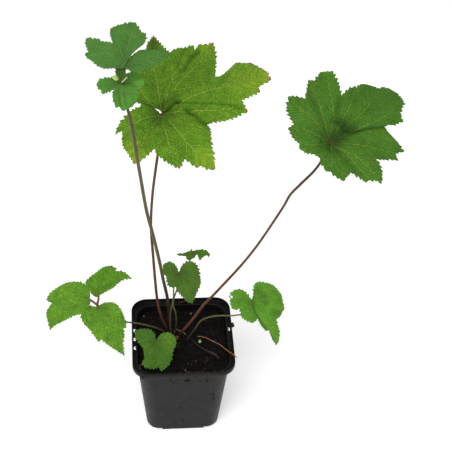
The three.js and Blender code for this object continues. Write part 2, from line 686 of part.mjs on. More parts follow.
function block(width, depth, from, to, x = 0, y = 0) {
  return solidOf(new THREE.BoxGeometry(width, depth, to - from).translate(x, y, (from + to) / 2));
}

// The pot: its outer form, less its inside, the room under its raised corners and its holes.
function potSolid() {
  const ledge = POT.height - POT.rimHeight;
  const floorTop = POT.lift + POT.floor;
  const [low, high] = [insideAt(floorTop), insideAt(ledge + POT.wall)];
  const cross = [2 * low.half, 2 * (POT.footHalf - POT.wall)];
  let solid = solidOf(loft([
    roundedSquare(POT.baseHalf, POT.baseCorner, 0),
    roundedSquare(POT.bodyHalf, POT.bodyCorner, ledge),
    roundedSquare(POT.rimHalf, POT.rimCorner, ledge),
    roundedSquare(POT.rimHalf, POT.rimCorner, POT.height),
  ]));
  solid = solid.subtract(solidOf(loft([
    roundedSquare(low.half, low.corner, floorTop),
    roundedSquare(high.half, high.corner, ledge + POT.wall),
    roundedSquare(POT.rimHalf - POT.wall, POT.rimCorner - POT.wall, ledge + POT.wall),
    roundedSquare(POT.rimHalf - POT.wall, POT.rimCorner - POT.wall, POT.height + PAST),
  ])));
  solid = solid.subtract(block(cross[0], cross[1], POT.floor, floorTop + PAST))
    .subtract(block(cross[1], cross[0], POT.floor, floorTop + PAST))
    .subtract(cornerBlocks(POT.footHalf, -PAST, POT.lift));
  for (const [x, y] of [[1, 1], [-1, 1], [-1, -1], [1, -1]]) {
    solid = solid.subtract(drill(
      POT.drainReach * x, POT.drainReach * y, POT.drain, POT.lift - PAST, floorTop + PAST,
    ));
  }
  const holeX = (POT.rimHalf + POT.bodyHalf) / 2 - POT.wall / 2;
  for (const side of [-1, 1]) {
    for (const step of [-1, 0, 1]) {
      const y = step * POT.ledgeHoleStep;
      solid = solid.subtract(drill(side * holeX, y, POT.ledgeHole, ledge - PAST, ledge + 2));
    }
  }
  return solid;
}

// What lies on the soil: a dead root that hangs over the rim, an old stem, a twig and a seed.
const LITTER = {
  dead_root: {
    color: "orange", thick: [0.45, 0.6], steps: 10,
    route: [
      [13.8, 4.7, 85.9], [20, 2.8, 86.3], [26.1, -1.9, 86.9], [32.9, -8.4, 88.6],
      [38.5, -17.6, 91.4], [44.6, -27.1, 94.9], [46.4, -29.6, 94.9],
    ],
  },
  dead_stem: {
    color: "dead", thick: [0.5, 1.5], steps: 8,
    route: [
      [8.2, 1.2, 85.7], [13, -3.5, 85.6], [19.3, -10.3, 85.7], [23.5, -14.3, 86.2],
      [31.1, -21.9, 86.2],
    ],
  },
  twig: { color: "twig", thick: [0.5, 0.4], steps: 3, route: [[-4.8, 14, 85.4], [1.8, 9.8, 86.4]] },
};
const SEED = { at: [15.9, -1.2, 86.4], radius: 1.8 };

// A bud that swells from its foot and runs out to a point.
function budGeometry({ at, axis, length, radius }) {
  const profile = [];
  for (let step = 0; step <= 6; step++) {
    const share = step / 6;
    const swell = step === 0 || step === 6 ? 0 : Math.sin(Math.PI * share ** 0.75);
    profile.push(new THREE.Vector2(radius * swell, length * share));
  }
  const turn = new THREE.Quaternion().setFromUnitVectors(
    new THREE.Vector3(0, 1, 0), vector(axis).normalize(),
  );
  return new THREE.LatheGeometry(profile, 8).applyQuaternion(turn).translate(...at);
}

function plant() {
  const group = new THREE.Group();
  for (const [name, blade] of Object.entries(BLADES)) {
    const mesh = meshOf(name, bladeGeometry(blade), material(COLORS[blade.color]));
    mesh.applyMatrix4(frameOf(blade));
    group.add(mesh);
  }
  for (const [name, stalk] of Object.entries(STALKS)) {
    group.add(meshOf(name, geometryFrom(stalkSolid(stalk)), material(COLORS[stalk.color])));
  }
  for (const [name, bud] of Object.entries(BUDS)) {
    group.add(meshOf(name, geometryFrom(solidOf(budGeometry(bud))), material(COLORS.bud)));
  }
  group.add(meshOf("rhizome_and_roots", geometryFrom(rhizomeSolid(0)), material(COLORS.root, 0.9)));
  return group;
}

function pottedSoil() {
  const group = new THREE.Group();
  group.add(meshOf("pot", geometryFrom(potSolid()), material(COLORS.pot, 0.45)));
  group.add(meshOf("soil", geometryFrom(soilSolid()), material(COLORS.soil, 1)));
  for (const [name, { route, thick, steps, color }] of Object.entries(LITTER)) {
    const geometry = tube(routeOf(route.map(vector)), taper(...thick), steps, 6);
    group.add(meshOf(name, geometry, material(COLORS[color], 0.9)));
  }
  const seed = new THREE.SphereGeometry(SEED.radius, 8, 6).translate(...SEED.at);
  group.add(meshOf("seed", geometryFrom(solidOf(seed)), material(COLORS.seed)));
  return group;
}

const pottedAnemone = new THREE.Group();
pottedAnemone.add(pottedSoil(), plant());

export default pottedAnemone;
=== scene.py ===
"""Looks of a potted Japanese anemone: fine leaves with veins, stalks, soil, litter and pot.

Tables are in millimetres, in the part's own frame, and MM turns them into metres.
"""

import math
import random

import bmesh
import bpy
import numpy as np
from mathutils import Matrix, Vector, noise
from mathutils.geometry import delaunay_2d_cdt

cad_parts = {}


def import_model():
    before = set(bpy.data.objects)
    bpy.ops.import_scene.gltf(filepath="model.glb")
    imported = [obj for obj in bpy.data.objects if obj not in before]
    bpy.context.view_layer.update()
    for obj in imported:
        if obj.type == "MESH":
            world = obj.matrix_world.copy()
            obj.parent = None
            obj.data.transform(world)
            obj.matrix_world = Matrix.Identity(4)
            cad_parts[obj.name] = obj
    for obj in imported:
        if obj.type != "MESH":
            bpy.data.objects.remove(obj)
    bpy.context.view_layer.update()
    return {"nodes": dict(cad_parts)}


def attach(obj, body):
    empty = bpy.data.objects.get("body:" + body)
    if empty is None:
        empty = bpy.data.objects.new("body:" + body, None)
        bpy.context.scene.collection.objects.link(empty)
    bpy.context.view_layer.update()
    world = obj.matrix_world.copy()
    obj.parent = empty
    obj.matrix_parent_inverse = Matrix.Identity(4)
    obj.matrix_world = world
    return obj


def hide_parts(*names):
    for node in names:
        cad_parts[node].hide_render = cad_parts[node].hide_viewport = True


MM = 0.001

# The camera: where it stands, its turn round the plant, its height angle, its roll and its lens.
CAMERA = {
    "place": (-37.9, -654.6, 832.7), "azimuth": -6.28, "elevation": 42.7, "roll": 2.93,
    "lens": 87.6, "sensor": 36.0, "far": 50,
}
WORLD_LIGHT = 0.58
KEY_LIGHT = {"place": (-500, -1000, 1500), "size": 1200, "power": 22}
FLOOR = {"half": 6000, "color": (0.93, 0.93, 0.93), "glow": 0.3, "rough": 0.9}
WHITE = (1, 1, 1, 1)

# A fine blade's faces lie this far below the CAD blade's upper face.
BLADE_TOP = 0.1
BLADE_UNDER = 0.45
# By a blade's size: the height and the pitch of its teeth, how near to the joint its edge is smooth,
# the spacing of its points, how strong its relief is, and how many hairs it has.
TOOTH = {"large": (1.55, 3.3), "small": (1.15, 2.6)}
SMOOTH_REACH = {"large": 15, "small": 4}
GRID = {"large": 0.78, "small": 0.55}
RELIEF_SCALE = {"large": 1.0, "small": 0.6}
LEAF_HAIRS = {"large": 900, "small": 260}
LEAF_HAIR_LENGTH = 0.45
# Corners that turn by more than this, in degrees, stay sharp. Between them the edge is a curve.
SHARP = 40
EDGE_STEP = 0.4
# Teeth: the spread of their pitches and sizes, the most that a long one grows, how short the last
# may be, where they begin beside the joint, how they fade at sharp corners, and a step ahead.
TEETH = {
    "pitches": (0.55, 1.45), "sizes": (0.5, 1.2), "most": 1.3, "last": 0.6, "begin": 0.6,
    "fade": 0.8, "ahead": 0.3,
}
# A tooth's outline, as places along it and heights, where the edge runs outwards and back inwards.
TOOTH_OUT = [(0.0, -0.5), (0.35, -0.05), (0.65, 0.35), (0.88, 0.62), (0.93, 0.1)]
TOOTH_BACK = [(0.0, -0.5), (0.07, 0.1), (0.12, 0.62), (0.35, 0.35), (0.65, -0.05)]
# How far points keep from the edge, from each other and from veins, in shares of their spacing.
CLEAR = {"edge": 0.5, "same": 0.5, "vein": 0.55, "vein_edge": 0.45}
# The distance between staggered rows, in shares of the spacing.
ROW_RISE = math.sqrt(0.75)
# By a blade's size: half the width of a rib and of a side vein, and the spacing of side veins.
VEINS = {"large": (0.26, 0.13, 6.5), "small": (0.2, 0.08, 4.2)}
# Ribs: how they bow and waver, where they end, how many points they have, how straight they start
# and how thin they end. Side veins: their slant and how it lessens, the most and the least steps,
# how near to the next rib they stop, how thin they end, and where along a rib they leave it.
RIB = {"bow": 0.03, "waver": 0.012, "waves": 2.4, "end": 0.98, "points": 16, "straight": 4, "tip": -0.25}
SIDE_VEIN = {
    "angle": 0.85, "bend": 0.985, "steps": 45, "least": 3, "crowd": 0.75, "tip": -0.8,
    "low": 0.12, "high": 0.93, "shift": 0.55, "stagger": 0.25,
}
# How far out a cupped blade rises, and how rounded a keel is.
CUP_REACH = 8
KEEL_ROUND = 3
# Relief: how far in from the edge it fades in, how far from a vein it rises, its height and reach
# beside a rib, and how far from the joint the leaf crumples. CRUMPLE has scales and heights.
RELIEF = {"edge": 3, "vein": 1.9, "rib": 0.6, "rib_reach": 4, "crumple_reach": 20}
CRUMPLE = [(0.09, 0.6), (0.25, 0.36)]
# How far the painted shade of the funnel round the joint and the dark joint reach, how near to a
# vein hairs grow, and the distance to veins that hairs are given, so that they stay plain.
HEART_SHADE_REACH = 12
JOINT_REACH = 1.7
HAIRY_VEIN = 0.1
FAR_FROM_VEINS = 9.0
# Creases fade out this near to the joint, and the painted shade along them has this share of their width.
CREASE_CLEAR = 7
CREASE_DARK = 0.7
# How far from a lap the lobes still bend, how it fades at its ends, and how far the lower one sinks.
LAP = {"reach": 6, "fade": 0.25, "sink": 0.7}
# How many points are compared with an outline at a time, and lengths that count as nothing.
CHUNK = 2000
TINY = 1e-12
CLOSE = 1e-6
# Noise is drawn from a place that a seeded number up to this one picks.
SEED_REACH = 50
# How many points each stretch of a curve has before it is spaced evenly, and the least gap between
# its corners. A tube's rounded tip, and a way that no tube starts in.
CURVE_STEPS = 24
LEAST_GAP = 1e-4
TIP = {"length": 0.4, "width": 0.7}
TUBE_SIDE = (0.3, 1, 0.2)

# Each look: a slot name that nothing here reads, the light and dark tones, the veins, the painted
# shade of its heart and folds, the yellow patches and how many there are, how deep the fine texture is, and
# how pale the ribs are.
LOOK_COLUMNS = ("slot", "light", "dark", "vein", "heart_shade", "patch", "patches", "grain", "rib")
LEAF_LOOKS = {
    "yellow": (
        "leaf_yellow_green", (0.162, 0.358, 0.0159), (0.072, 0.196, 0.0089), (0.3, 0.43, 0.05),
        (0.0165, 0.047, 0.0025), (0.27, 0.42, 0.024), 0.4, 1.1, 0.5,
    ),
    "mid": (
        "leaf_mid_green", (0.0754, 0.211, 0.0162), (0.0423, 0.135, 0.0108), (0.16, 0.264, 0.0315),
        (0.0112, 0.034, 0.0028), (0.14, 0.27, 0.02), 0.12, 0.7, 0.36,
    ),
    "bright": (
        "leaf_bright_green", (0.135, 0.34, 0.018), (0.058, 0.185, 0.012), (0.2, 0.38, 0.04),
        (0.05, 0.12, 0.012), (0.34, 0.44, 0.03), 0.85, 0.9, 0.5,
    ),
    "front": (
        "leaf_bright_green", (0.082, 0.195, 0.021), (0.05, 0.13, 0.015), (0.12, 0.25, 0.035),
        (0.04, 0.1, 0.014), (0.13, 0.28, 0.02), 0.2, 0.9, 0.5,
    ),
    "blue": (
        "leaf_blue_green", (0.0748, 0.195, 0.0319), (0.0493, 0.145, 0.0228), (0.0924, 0.224, 0.038),
        (0.044, 0.108, 0.0228), (0.088, 0.216, 0.0342), 0.1, 0.35, 0.5,
    ),
    "low": (
        "leaf_blue_green", (0.0882, 0.251, 0.0288), (0.0521, 0.17, 0.0202), (0.101, 0.275, 0.036),
        (0.0504, 0.138, 0.0202), (0.109, 0.275, 0.0288), 0.2, 0.4, 0.5,
    ),
    # A lit copy of the low look: brighter tones painted against the shadow that the leaves above cast.
    "painted_light_low": (
        "leaf_blue_green", (0.17, 0.42, 0.055), (0.1, 0.29, 0.035), (0.18, 0.44, 0.07), (0.09, 0.24, 0.04),
        (0.19, 0.44, 0.05), 0.2, 0.4, 0.5,
    ),
    "right": (
        "leaf_bright_green", (0.125, 0.33, 0.022), (0.075, 0.215, 0.016), (0.18, 0.39, 0.045),
        (0.04, 0.11, 0.012), (0.2, 0.4, 0.03), 0.25, 0.55, 0.5,
    ),
    "dark": (
        "leaf_dark_green", (0.0744, 0.161, 0.0161), (0.0418, 0.101, 0.011), (0.112, 0.202, 0.0272),
        (0.0279, 0.069, 0.0085), (0.0837, 0.156, 0.0161), 0.1, 0.6, 0.5,
    ),
    "young": (
        "leaf_dark_green", (0.105, 0.23, 0.024), (0.055, 0.14, 0.014), (0.15, 0.25, 0.03),
        (0.05, 0.1, 0.012), (0.15, 0.26, 0.02), 0.3, 0.6, 0.5,
    ),
    "deep": (
        "leaf_dark_green", (0.075, 0.16, 0.014), (0.02, 0.065, 0.006), (0.09, 0.17, 0.02),
        (0.02, 0.06, 0.006), (0.09, 0.2, 0.015), 0.3, 0.6, 0.5,
    ),
}
LEAF_LOOKS = {name: dict(zip(LOOK_COLUMNS, row)) for name, row in LEAF_LOOKS.items()}

# The leaves. Each blade has its own flat frame: the stalk joins it at [0, 0], +X runs along heading
# and +Z along normal. edge lists the tips and the dips between them, counter-clockwise. ribs lists
# the ends of the main veins. brown, pale and plain list tips that have turned brown, paler areas
# and stretches of the edge without teeth, each with its reach. laps, creases and holes shape the
# blade; a crease's last number is painted shade along its fold, and creases with no height are only
# painted shade. joint is how dark its joint is, and relief how far it rises between the veins.
BLADES = {
    "blade_large_left": {
        "at": (-17.2, 28, 318.3), "normal": (-0.05, -0.46, 0.89), "heading": (1, 0.3, 0),
        "look": "yellow", "size": "large",
        "form": {"cup": 4, "droop": 0.0016, "wave": 0.0009, "folds": 7}, "relief": 0.38,
        "edge": [
            (-0.9, -1.2), (-1.2, 1.6), (-3.3, 5), (-5.6, 8.2), (-8.8, 11), (-12, 12.9), (-14.4, 9.6),
            (-23, 8), (-35, 0), (-39, -6), (-33, -5), (-36, -18), (-34, -25), (-32, -33), (-22, -31),
            (-14, -27), (-12, -35), (-5, -44), (0, -48), (6, -41), (9, -45), (13, -50), (16, -49),
            (21, -54), (26, -55), (28, -46), (29, -37), (32, -23), (31, -18), (46, -19), (55, -18),
            (65, -16), (63, -7), (70, -6), (79, -4), (79, 0), (91, 4), (90, 14), (83, 28), (71, 31),
            (54, 20), (50, 20), (54, 31), (57, 40), (57.8, 50.2), (50.7, 48.5), (45.5, 49.5), (41.2, 45.8),
            (41.2, 49.8), (33.5, 50.9), (29, 52), (25.8, 51.9), (21.8, 50.5), (19, 59), (17, 67), (15, 74),
            (7.2, 65), (4.6, 60), (-0.9, 57.6), (-9.4, 48), (-11.8, 42.4), (-14.4, 38), (-17, 33),
            (-18, 25), (-17.5, 15), (-12.4, 12.5), (-8.8, 10.2), (-5.6, 7.2), (-3, 5.5), (-0.5, 3.5),
            (0.6, 1),
        ],
        "ribs": [
            (-30, -30), (-2, -45), (25, -52), (62, -11), (87, 10), (56, 46), (36, 49), (15, 71), (-14, 40),
            (-36, -5),
        ],
        "laps": [{"from": (-5, 7.5), "to": (-12, 12.7), "under": 1, "by": 0.5, "rise": 0.7}],
        "creases": [
            ([(1, 0.8), (5.5, 2), (11.9, 5.2), (15, 5)], -2.2, 1.9, 0.8),
            ([(14, 5), (21.4, 2.8), (34.8, -1.9), (52, -7.4), (62, -13)], -1.1, 1.1, 0.4),
            ([(3, 5), (9, 10), (15, 13)], -1.6, 4.5, 0.45),
            ([(7, 12), (14, 20), (24, 28)], -1.4, 4, 0.25),
            ([(12.4, 6.8), (27.5, 9.8), (39.4, 12.7)], 2.2, 3, 0),
            ([(10, 14), (26, 22), (44, 28)], 1.6, 3.5, 0),
            ([(19.5, -3.6), (24.4, -9.1), (27.8, -15.7), (32.1, -18.9)], -2.6, 2.2, 0.6),
            ([(43.2, 44), (35.4, 39.1), (27.7, 31.8)], -2.4, 3, 0.6),
            # These two creases have no height: they are only painted shade, on the back lobe and over the
            # middle.
            ([(10, 58), (14, 70)], 0, 9, 0.65), ([(6, 24), (20, 34), (34, 34)], 0, 20, 0.2),
            ([(-5, 9), (-12, 13.5), (-17, 16)], -0.6, 1.8, 0.45),
            ([(34, 50), (28, 42), (24, 34)], -1.8, 3, 0.4),
            ([(-4, 8), (-12, 16), (-16, 26)], -1.5, 3.5, 0.3),
            ([(-4, -4), (-12, -10), (-20, -22)], -1.4, 3.5, 0.2),
        ],
        "plain": [(63, 26, 9), (52, 22, 5), (0, 58.5, 9)],
        "brown": [
            (15, 74, 10), (57.5, 50, 5.5), (82, 28, 4.5), (91.3, 4.5, 9), (79, -3.6, 4.5), (64.6, -16, 4.5),
            (35.6, -19.5, 3.5), (31, -34, 3.5), (26, -55, 6), (29, -46, 3), (14, -50, 4), (0.3, -48, 4.5),
            (-33, -32.5, 5), (-36, -18, 3.5), (89, 14.5, 3), (-39, -6, 3.5), (-35.8, -25.4, 3),
            (51, 48, 2.5), (46, 49.5, 2.5), (71, 31, 2.5),
        ],
        "pale": [(90, 7, 24), (80, 8, 36), (22, -46, 15), (50, 46, 8), (-30, -26, 18)],
    },
    "blade_large_right": {
        "at": (112.6, 6, 304.9), "normal": (0.08, -0.5, 0.86), "heading": (-1, 0.1, 0),
        "look": "mid", "size": "large",
        "form": {"cup": 5, "droop": 0.0022, "wave": 0.0012, "folds": 7},
        "edge": [
            (-15, -8.4), (-24, -12), (-42.5, -15.8), (-45.1, -18), (-51.9, -19.7), (-55.3, -22.2),
            (-58.9, -23.6), (-56.2, -31), (-58.4, -32.6), (-57.8, -35.2), (-61, -41), (-60.4, -47.5),
            (-57.6, -54), (-51.7, -58.8), (-45.6, -58.6), (-43.5, -56.2), (-36.5, -56.3), (-26, -54.1),
            (-20, -49.6), (-15.6, -47.8), (-8.2, -40.2), (-7, -44), (-6, -51), (-2, -63), (7, -63),
            (12, -54), (17, -54), (21, -34), (28, -35), (34, -35), (35, -25), (31, -15), (29, -12),
            (34, -8), (30, 1), (25, 5), (25, 8), (19, 12), (15, 12), (9, 15), (8, 19), (3, 25), (0, 25),
            (-4, 29), (-10, 32), (-16, 24), (-24, 27), (-29, 30), (-31, 28), (-36, 28), (-41, 30),
            (-41, 22), (-39, 15), (-36, 11), (-45, 10), (-50, 8), (-56, 8), (-54, 2), (-62, -2), (-55, -8),
            (-48, -12), (-42.5, -16.6), (-24, -13),
        ],
        "ribs": [
            (-57, -38), (-44, -56), (-20, -50), (2, -60), (18, -50), (33, -32), (32, -9), (24, 6), (0, 24),
            (-10, 30), (-32, 28), (-40, 27), (-58, 0),
        ],
        "laps": [{"from": (-15, -8.6), "to": (-46, -17), "under": 1, "by": 2, "rise": 1.3}],
        "creases": [
            ([(-22, -11), (-16, -10.8), (-11, -12.6)], -2.8, 2.6, 0.85),
            ([(-3, -3), (-10, -9), (-16, -13), (-7, -17)], -1.8, 9, 0.72),
            # This crease has no height: it is a painted shadow under the upper lobe where it laps over the
            # lower one.
            ([(-22, -11.2), (-31, -13.4), (-42, -16)], 0, 1.7, 0.65),
            ([(-7.4, -38), (-5.7, -29.9), (-4, -19.4)], -2.2, 3, 0.4),
            ([(-1, -1), (-14, 2), (-34, 2)], 1.2, 4, 0),
            ([(4, -8), (8, -20), (14, -32)], -1.2, 4, 0.2),
            ([(-3, 5), (-14, 14), (-24, 24)], -1.2, 4, 0.2),
        ],
        "plain": [(-30, -55, 10), (-54, -57, 7), (-50, -12, 10), (20, -34, 3), (-30, -14, 14)],
        "brown": [(-58, -34, 2), (-60, -46, 2), (-10, 32, 2)],
    },
    "leaflet_left_back": {
        "at": (-73.7, 5, 141.3), "normal": (0.1, -0.45, 0.88), "heading": (0.9, 0.5, 0),
        "look": "bright", "joint": 0.4,
        "form": {"keel": 0.12, "bend": 0.004, "wave": 0.001},
        "edge": [
            (-0.6, -0.6), (1.6, 0), (4, 0), (10, 0.6), (16, 1), (22, 3), (28, 4), (35, 2), (33, 8),
            (30, 12), (25, 14), (27, 16), (24, 20), (19, 21), (15, 21), (7, 19), (2, 18), (-3.4, 16),
            (-4.6, 13), (-3.8, 6), (-2.2, 1),
        ],
        "ribs": [(34, 3.5), (25, 19), (5, 17)],
    },
    "leaflet_left_side": {
        "at": (-80.4, 3.4, 139.2), "normal": (-0.3, -0.5, 0.81), "heading": (-1, -0.15, -0.2),
        "look": "bright", "joint": 0.4,
        "form": {"keel": 0.1, "bend": 0.004, "wave": 0.001},
        "edge": [
            (-0.6, -0.8), (-1.5, -3.8), (-1.8, -8.7), (0, -13.6), (3, -16.7), (8.6, -19.2), (15.9, -21),
            (23, -21), (30, -20), (36, -18), (40, -14), (35, -9), (41, -5), (43, -1), (43, 6), (43, 13),
            (38, 11), (27, 10), (16, 9), (10.6, 9.8), (8, 8.4), (3, 6.4), (-0.5, 2),
        ],
        "ribs": [(42, 0), (41, 12), (38, -14), (12, -20)],
    },
    "leaflet_left_front": {
        "at": (-72.2, 0, 132.7), "normal": (0.12, -0.72, 0.68), "heading": (0.4, -0.8, -0.8),
        "look": "bright", "joint": 0.4,
        "form": {"keel": 0.1, "bend": 0.003, "wave": 0.001},
        "edge": [
            (-1, 0), (-2, -3), (-4.8, -8), (-4.2, -12), (-2.8, -15.8), (1.4, -17.8), (9, -17.2), (14, -15),
            (28, -11), (27, -8), (34, -4), (41, 1), (48, 6), (36, 9), (31, 12), (25, 13), (25, 16),
            (19, 17), (11, 17), (3, 15), (0, 12), (-2, 6), (-2, 2),
        ],
        "ribs": [(46, 5.5), (26, -10), (23, 15), (2, -15), (3, 14)],
    },
    "blade_front": {
        "at": (-23.6, -13, 100.7), "normal": (0, -0.4, 0.92), "heading": (0.2, -1, -0.3),
        "look": "front", "joint": 0.1,
        "form": {"keel": 0.1, "bend": 0.006, "droop": 0.002},
        "edge": [
            (-1.2, 0), (-8, 0), (-12, -3), (-14, -9), (-14, -15), (-13, -17), (-9, -17), (-1, -15),
            (3, -13), (9, -13), (13, -14), (17, -17), (21, -13), (23, -6), (22, -3), (26, -1), (23, 5),
            (18, 10), (13, 12), (7, 16), (3, 17), (-2, 16), (-6, 12), (-6, 7), (-4, 3),
        ],
        "ribs": [(24, -1), (18, -14), (-12, -15), (17, 9), (1, 15)],
        "pale": [(0, 9, 13)],
    },
    "blade_middle": {
        "at": (-3.8, -6, 176.8), "normal": (0.05, -0.8, 0.6), "heading": (0.3, -0.6, -0.8),
        "look": "dark",
        "form": {"keel": 0.1, "bend": 0.004, "droop": 0.002},
        "edge": [
            (-2, 0), (-6, 0), (-11, -2), (-13, -5), (-12, -10), (-9, -12), (-5, -13), (-2, -11), (3, -12),
            (8, -11), (9, -8), (9.5, -6), (13, -6), (18, -4), (22, -2), (26, 0), (28, 3), (26, 5), (22, 8),
            (17, 12), (13, 15), (8, 16), (2, 17), (-4, 16), (-8, 12), (-8, 8), (-6, 4), (-2.5, 1.2),
        ],
        "ribs": [(25, 2.5), (8, -10), (-10, -8), (14, 12), (-5, 14)],
    },
    "blade_right_low": {
        "at": (60.9, 4, 130.2), "normal": (0.22, -0.55, 0.81), "heading": (0.75, -0.65, -0.3),
        "look": "right", "joint": 0.5,
        "form": {"keel": 0.1, "bend": 0.003, "droop": 0.002}, "holes": [(-15.9, -10.3, 1.15)],
        "edge": [
            (-1.2, 1), (-6, 2), (-11, 2), (-15.6, 0), (-16.6, -1.6), (-18.4, -3.6), (-18, -6),
            (-19.6, -8.4), (-17.6, -9.6), (-18, -11.6), (-15.2, -12.2), (-15, -14), (-9, -18), (-5, -16),
            (-4, -13), (-1, -15), (2, -17), (6, -17), (13, -14), (14, -11), (14, -7), (20, -9), (27, -9),
            (29, -6), (37, -9), (43, -10), (43, -6), (37, 1), (30, 4), (27, 6), (28, 9), (27, 14), (26, 18),
            (21, 21), (16, 24), (8, 25), (2, 24), (-3, 21), (-7, 18), (-9, 14), (-8, 11), (-3, 5),
        ],
        "ribs": [(41, -8), (27, 15), (5, 23), (4, -15), (-16, -9)],
        "creases": [
            ([(1, 0), (9, -4.5), (22, -7), (38, -7.8)], -1.0, 2, 0.55),
            # The first crease here has no height: it is only painted shade.
            ([(8, -12), (16, -9.5)], 0, 4, 0.3), ([(-5, 8), (-1, 14)], -0.8, 2.5, 0.35),
            ([(-3, 12), (5, 11), (9, 8)], -0.5, 5, 0.5), ([(22, 9), (27, 13)], -0.6, 5, 0.55),
            ([(-8, -3), (-8, -9)], -0.5, 4, 0.25), ([(9, 22), (20, 21)], -0.8, 3, 0.2),
            ([(4, 3), (14, 8), (20, 16)], 0.7, 2, 0), ([(3, 5), (8, 12), (11, 20)], 0.6, 2, 0),
        ],
    },
    "young_left": {
        "at": (3.6, 13, 181.4), "normal": (-0.1, 0.05, 0.99), "heading": (-1, 0, 0),
        "look": "young", "joint": 0,
        "form": {"keel": 0.1, "bend": 0.004},
        "edge": [
            (-3.2, -3.8), (-1.2, -3.5), (1.7, -2.3), (4.9, -2), (8.5, -2.2), (8.8, -1.1), (6.4, 0.2),
            (4.4, 1), (2.2, 1.8), (0.9, 3), (-0.3, 4.9), (-1.4, 6.3), (-2.8, 6.8), (-3.8, 2),
        ],
        "ribs": [(8, -1.7)],
    },
    "young_right": {
        "at": (10, 13, 182), "normal": (0.12, -0.12, 0.98), "heading": (1, -0.1, 0),
        "look": "young", "joint": 0,
        "form": {"keel": 0.1, "bend": 0.01},
        "edge": [
            (-3.2, -5), (-2.2, -5.2), (-1, -3.8), (0.2, -2.4), (1.8, -0.6), (2.9, -1), (3.6, -4.4),
            (4.7, -6.5), (6.1, -5), (8.3, -0.5), (9.6, 0), (10.3, 1.1), (11.2, 0.9), (12.4, -0.8),
            (12.9, 2.7), (12, 4.5), (10.1, 5.9), (5.8, 5.6), (3.8, 4.9), (0.6, 3.6), (-1.1, 2.9),
            (-2.8, 1.8),
        ],
        "ribs": [(12, 2.5), (5, -5)],
    },
    "whorl_low_left": {
        "at": (-52.1, -31, 389.7), "normal": (-0.15, -0.45, 0.88), "heading": (-1, -0.1, 0),
        "look": "low", "joint": 0,
        "form": {"keel": 0.1, "bend": 0.006},
        "edge": [
            (-6, 1.2), (-5.6, -1.4), (-4, -2.2), (-1.3, -3.5), (1.7, -4.9), (6.6, -5.5), (9.9, -4.4),
            (11.6, -2), (11.2, 0.6), (9.4, 3.9), (8, 6.7), (4.2, 6.1), (-0.2, 4.5), (-3.8, 2),
        ],
        "ribs": [(10, 0), (7, 4.5)],
    },
    "whorl_low_front": {
        "at": (-47, -37, 390), "normal": (0.05, -0.72, 0.69), "heading": (0.2, -0.7, -0.7),
        "look": "low", "joint": 0,
        "form": {"keel": 0.12, "bend": 0.008},
        "edge": [
            (-2.6, 0.4), (-2.4, -2), (-0.9, -4.1), (1.6, -5.8), (4.9, -6.9), (9, -6.7), (12.6, -6),
            (12, -3.8), (15.4, -1.8), (14.8, 1.2), (14, 4.2), (12.7, 6.8), (8.8, 9.8), (5.6, 10.8),
            (2.1, 10.6), (-1.4, 6),
        ],
        "ribs": [(14, -1.5), (13, 5.5), (9, -6)],
        "creases": [
            ([(0, -1.4), (6.4, -1.9), (11, -2.2)], -0.7, 1, 0.55),
            ([(1.7, 1.9), (11.3, 1.9)], -0.5, 1, 0.3), ([(2.8, 7.2), (10.4, 7)], -0.5, 1.1, 0.3),
        ],
    },
    "whorl_low_right": {
        "at": (-42.7, -30, 388.3), "normal": (0.1, -0.5, 0.86), "heading": (1, 0.1, 0),
        # Its look is painted light, brighter against the shadow of the whorl's upper leaves.
        "look": "painted_light_low", "joint": 0,
        "form": {"keel": 0.12, "bend": 0.006},
        "edge": [
            (-4.4, 0.4), (-2, -1.8), (2, -3.6), (6, -4), (10.3, -2.8), (12.2, 0.6), (11.6, 3.4),
            (10.2, 5.6), (7, 8), (4.1, 9), (1.9, 8.1), (0.5, 7.8), (-0.9, 6), (-2.5, 3.2), (-3.6, 1.4),
        ],
        "ribs": [(13, 0), (9, 5)], "creases": [([(-3, 0), (4, 1), (11, 3)], 1.0, 1.8, 0)],
    },
    "whorl_high_left": {
        "at": (-47, -34, 407), "normal": (-0.12, -0.45, 0.88), "heading": (-1, 0.25, 0),
        "look": "blue", "joint": 0.3,
        "form": {"keel": 0.1, "bend": 0.004, "wave": 0.001},
        "edge": [
            (-3.6, 0.6), (-2.6, -1), (-2, -5.4), (1, -11), (7.6, -15), (13, -16), (16, -16), (19, -18),
            (23, -18), (25, -19), (28, -18), (28, -15), (26, -11), (24, -8), (26, -6), (24, -3), (20, -1),
            (16, 2), (10, 4), (4, 3), (-1.2, 2.5), (-2.8, 2.3),
        ],
        "ribs": [(27, -17), (24, -5), (14, -15)],
    },
    "whorl_high_back": {
        "at": (-44, -31, 409.4), "normal": (0, -0.52, 0.85), "heading": (0.2, 1, 0.1),
        "look": "blue", "joint": 0.3,
        "form": {"keel": 0.1, "bend": 0.004, "wave": 0.001},
        "edge": [
            (-4.6, -1), (-3, -1.6), (3, -3.6), (8, -6.2), (14, -10.6), (17, -11.4), (21, -11), (22.4, -10),
            (23.2, -7.4), (26.2, -5), (29, -2), (29.2, 1), (27.4, 5), (25, 9), (22, 13), (20, 14), (16, 13),
            (11, 10.4), (4, 7), (-3, 2),
        ],
        "ribs": [(30, 0), (22, -9), (21, 12)], "plain": [(5, -5, 11)],
        # This crease's darkness is partly the leaf's own darker stripe at its base and partly painted shade
        # in its fold.
        "creases": [([(-4, -0.5), (8, 1), (18, 1)], -0.6, 2, 0.35)],
    },
    "whorl_high_right": {
        "at": (-41, -33.5, 406), "normal": (0.12, -0.45, 0.88), "heading": (1, 0.2, 0),
        "look": "blue", "joint": 0.3,
        "form": {"keel": 0.1, "bend": 0.004},
        "edge": [
            (-3.6, 0.4), (-2.9, -1.4), (-2, -2.2), (-0.9, -2.9), (0.6, -4.4), (2.8, -5), (6.7, -5.2),
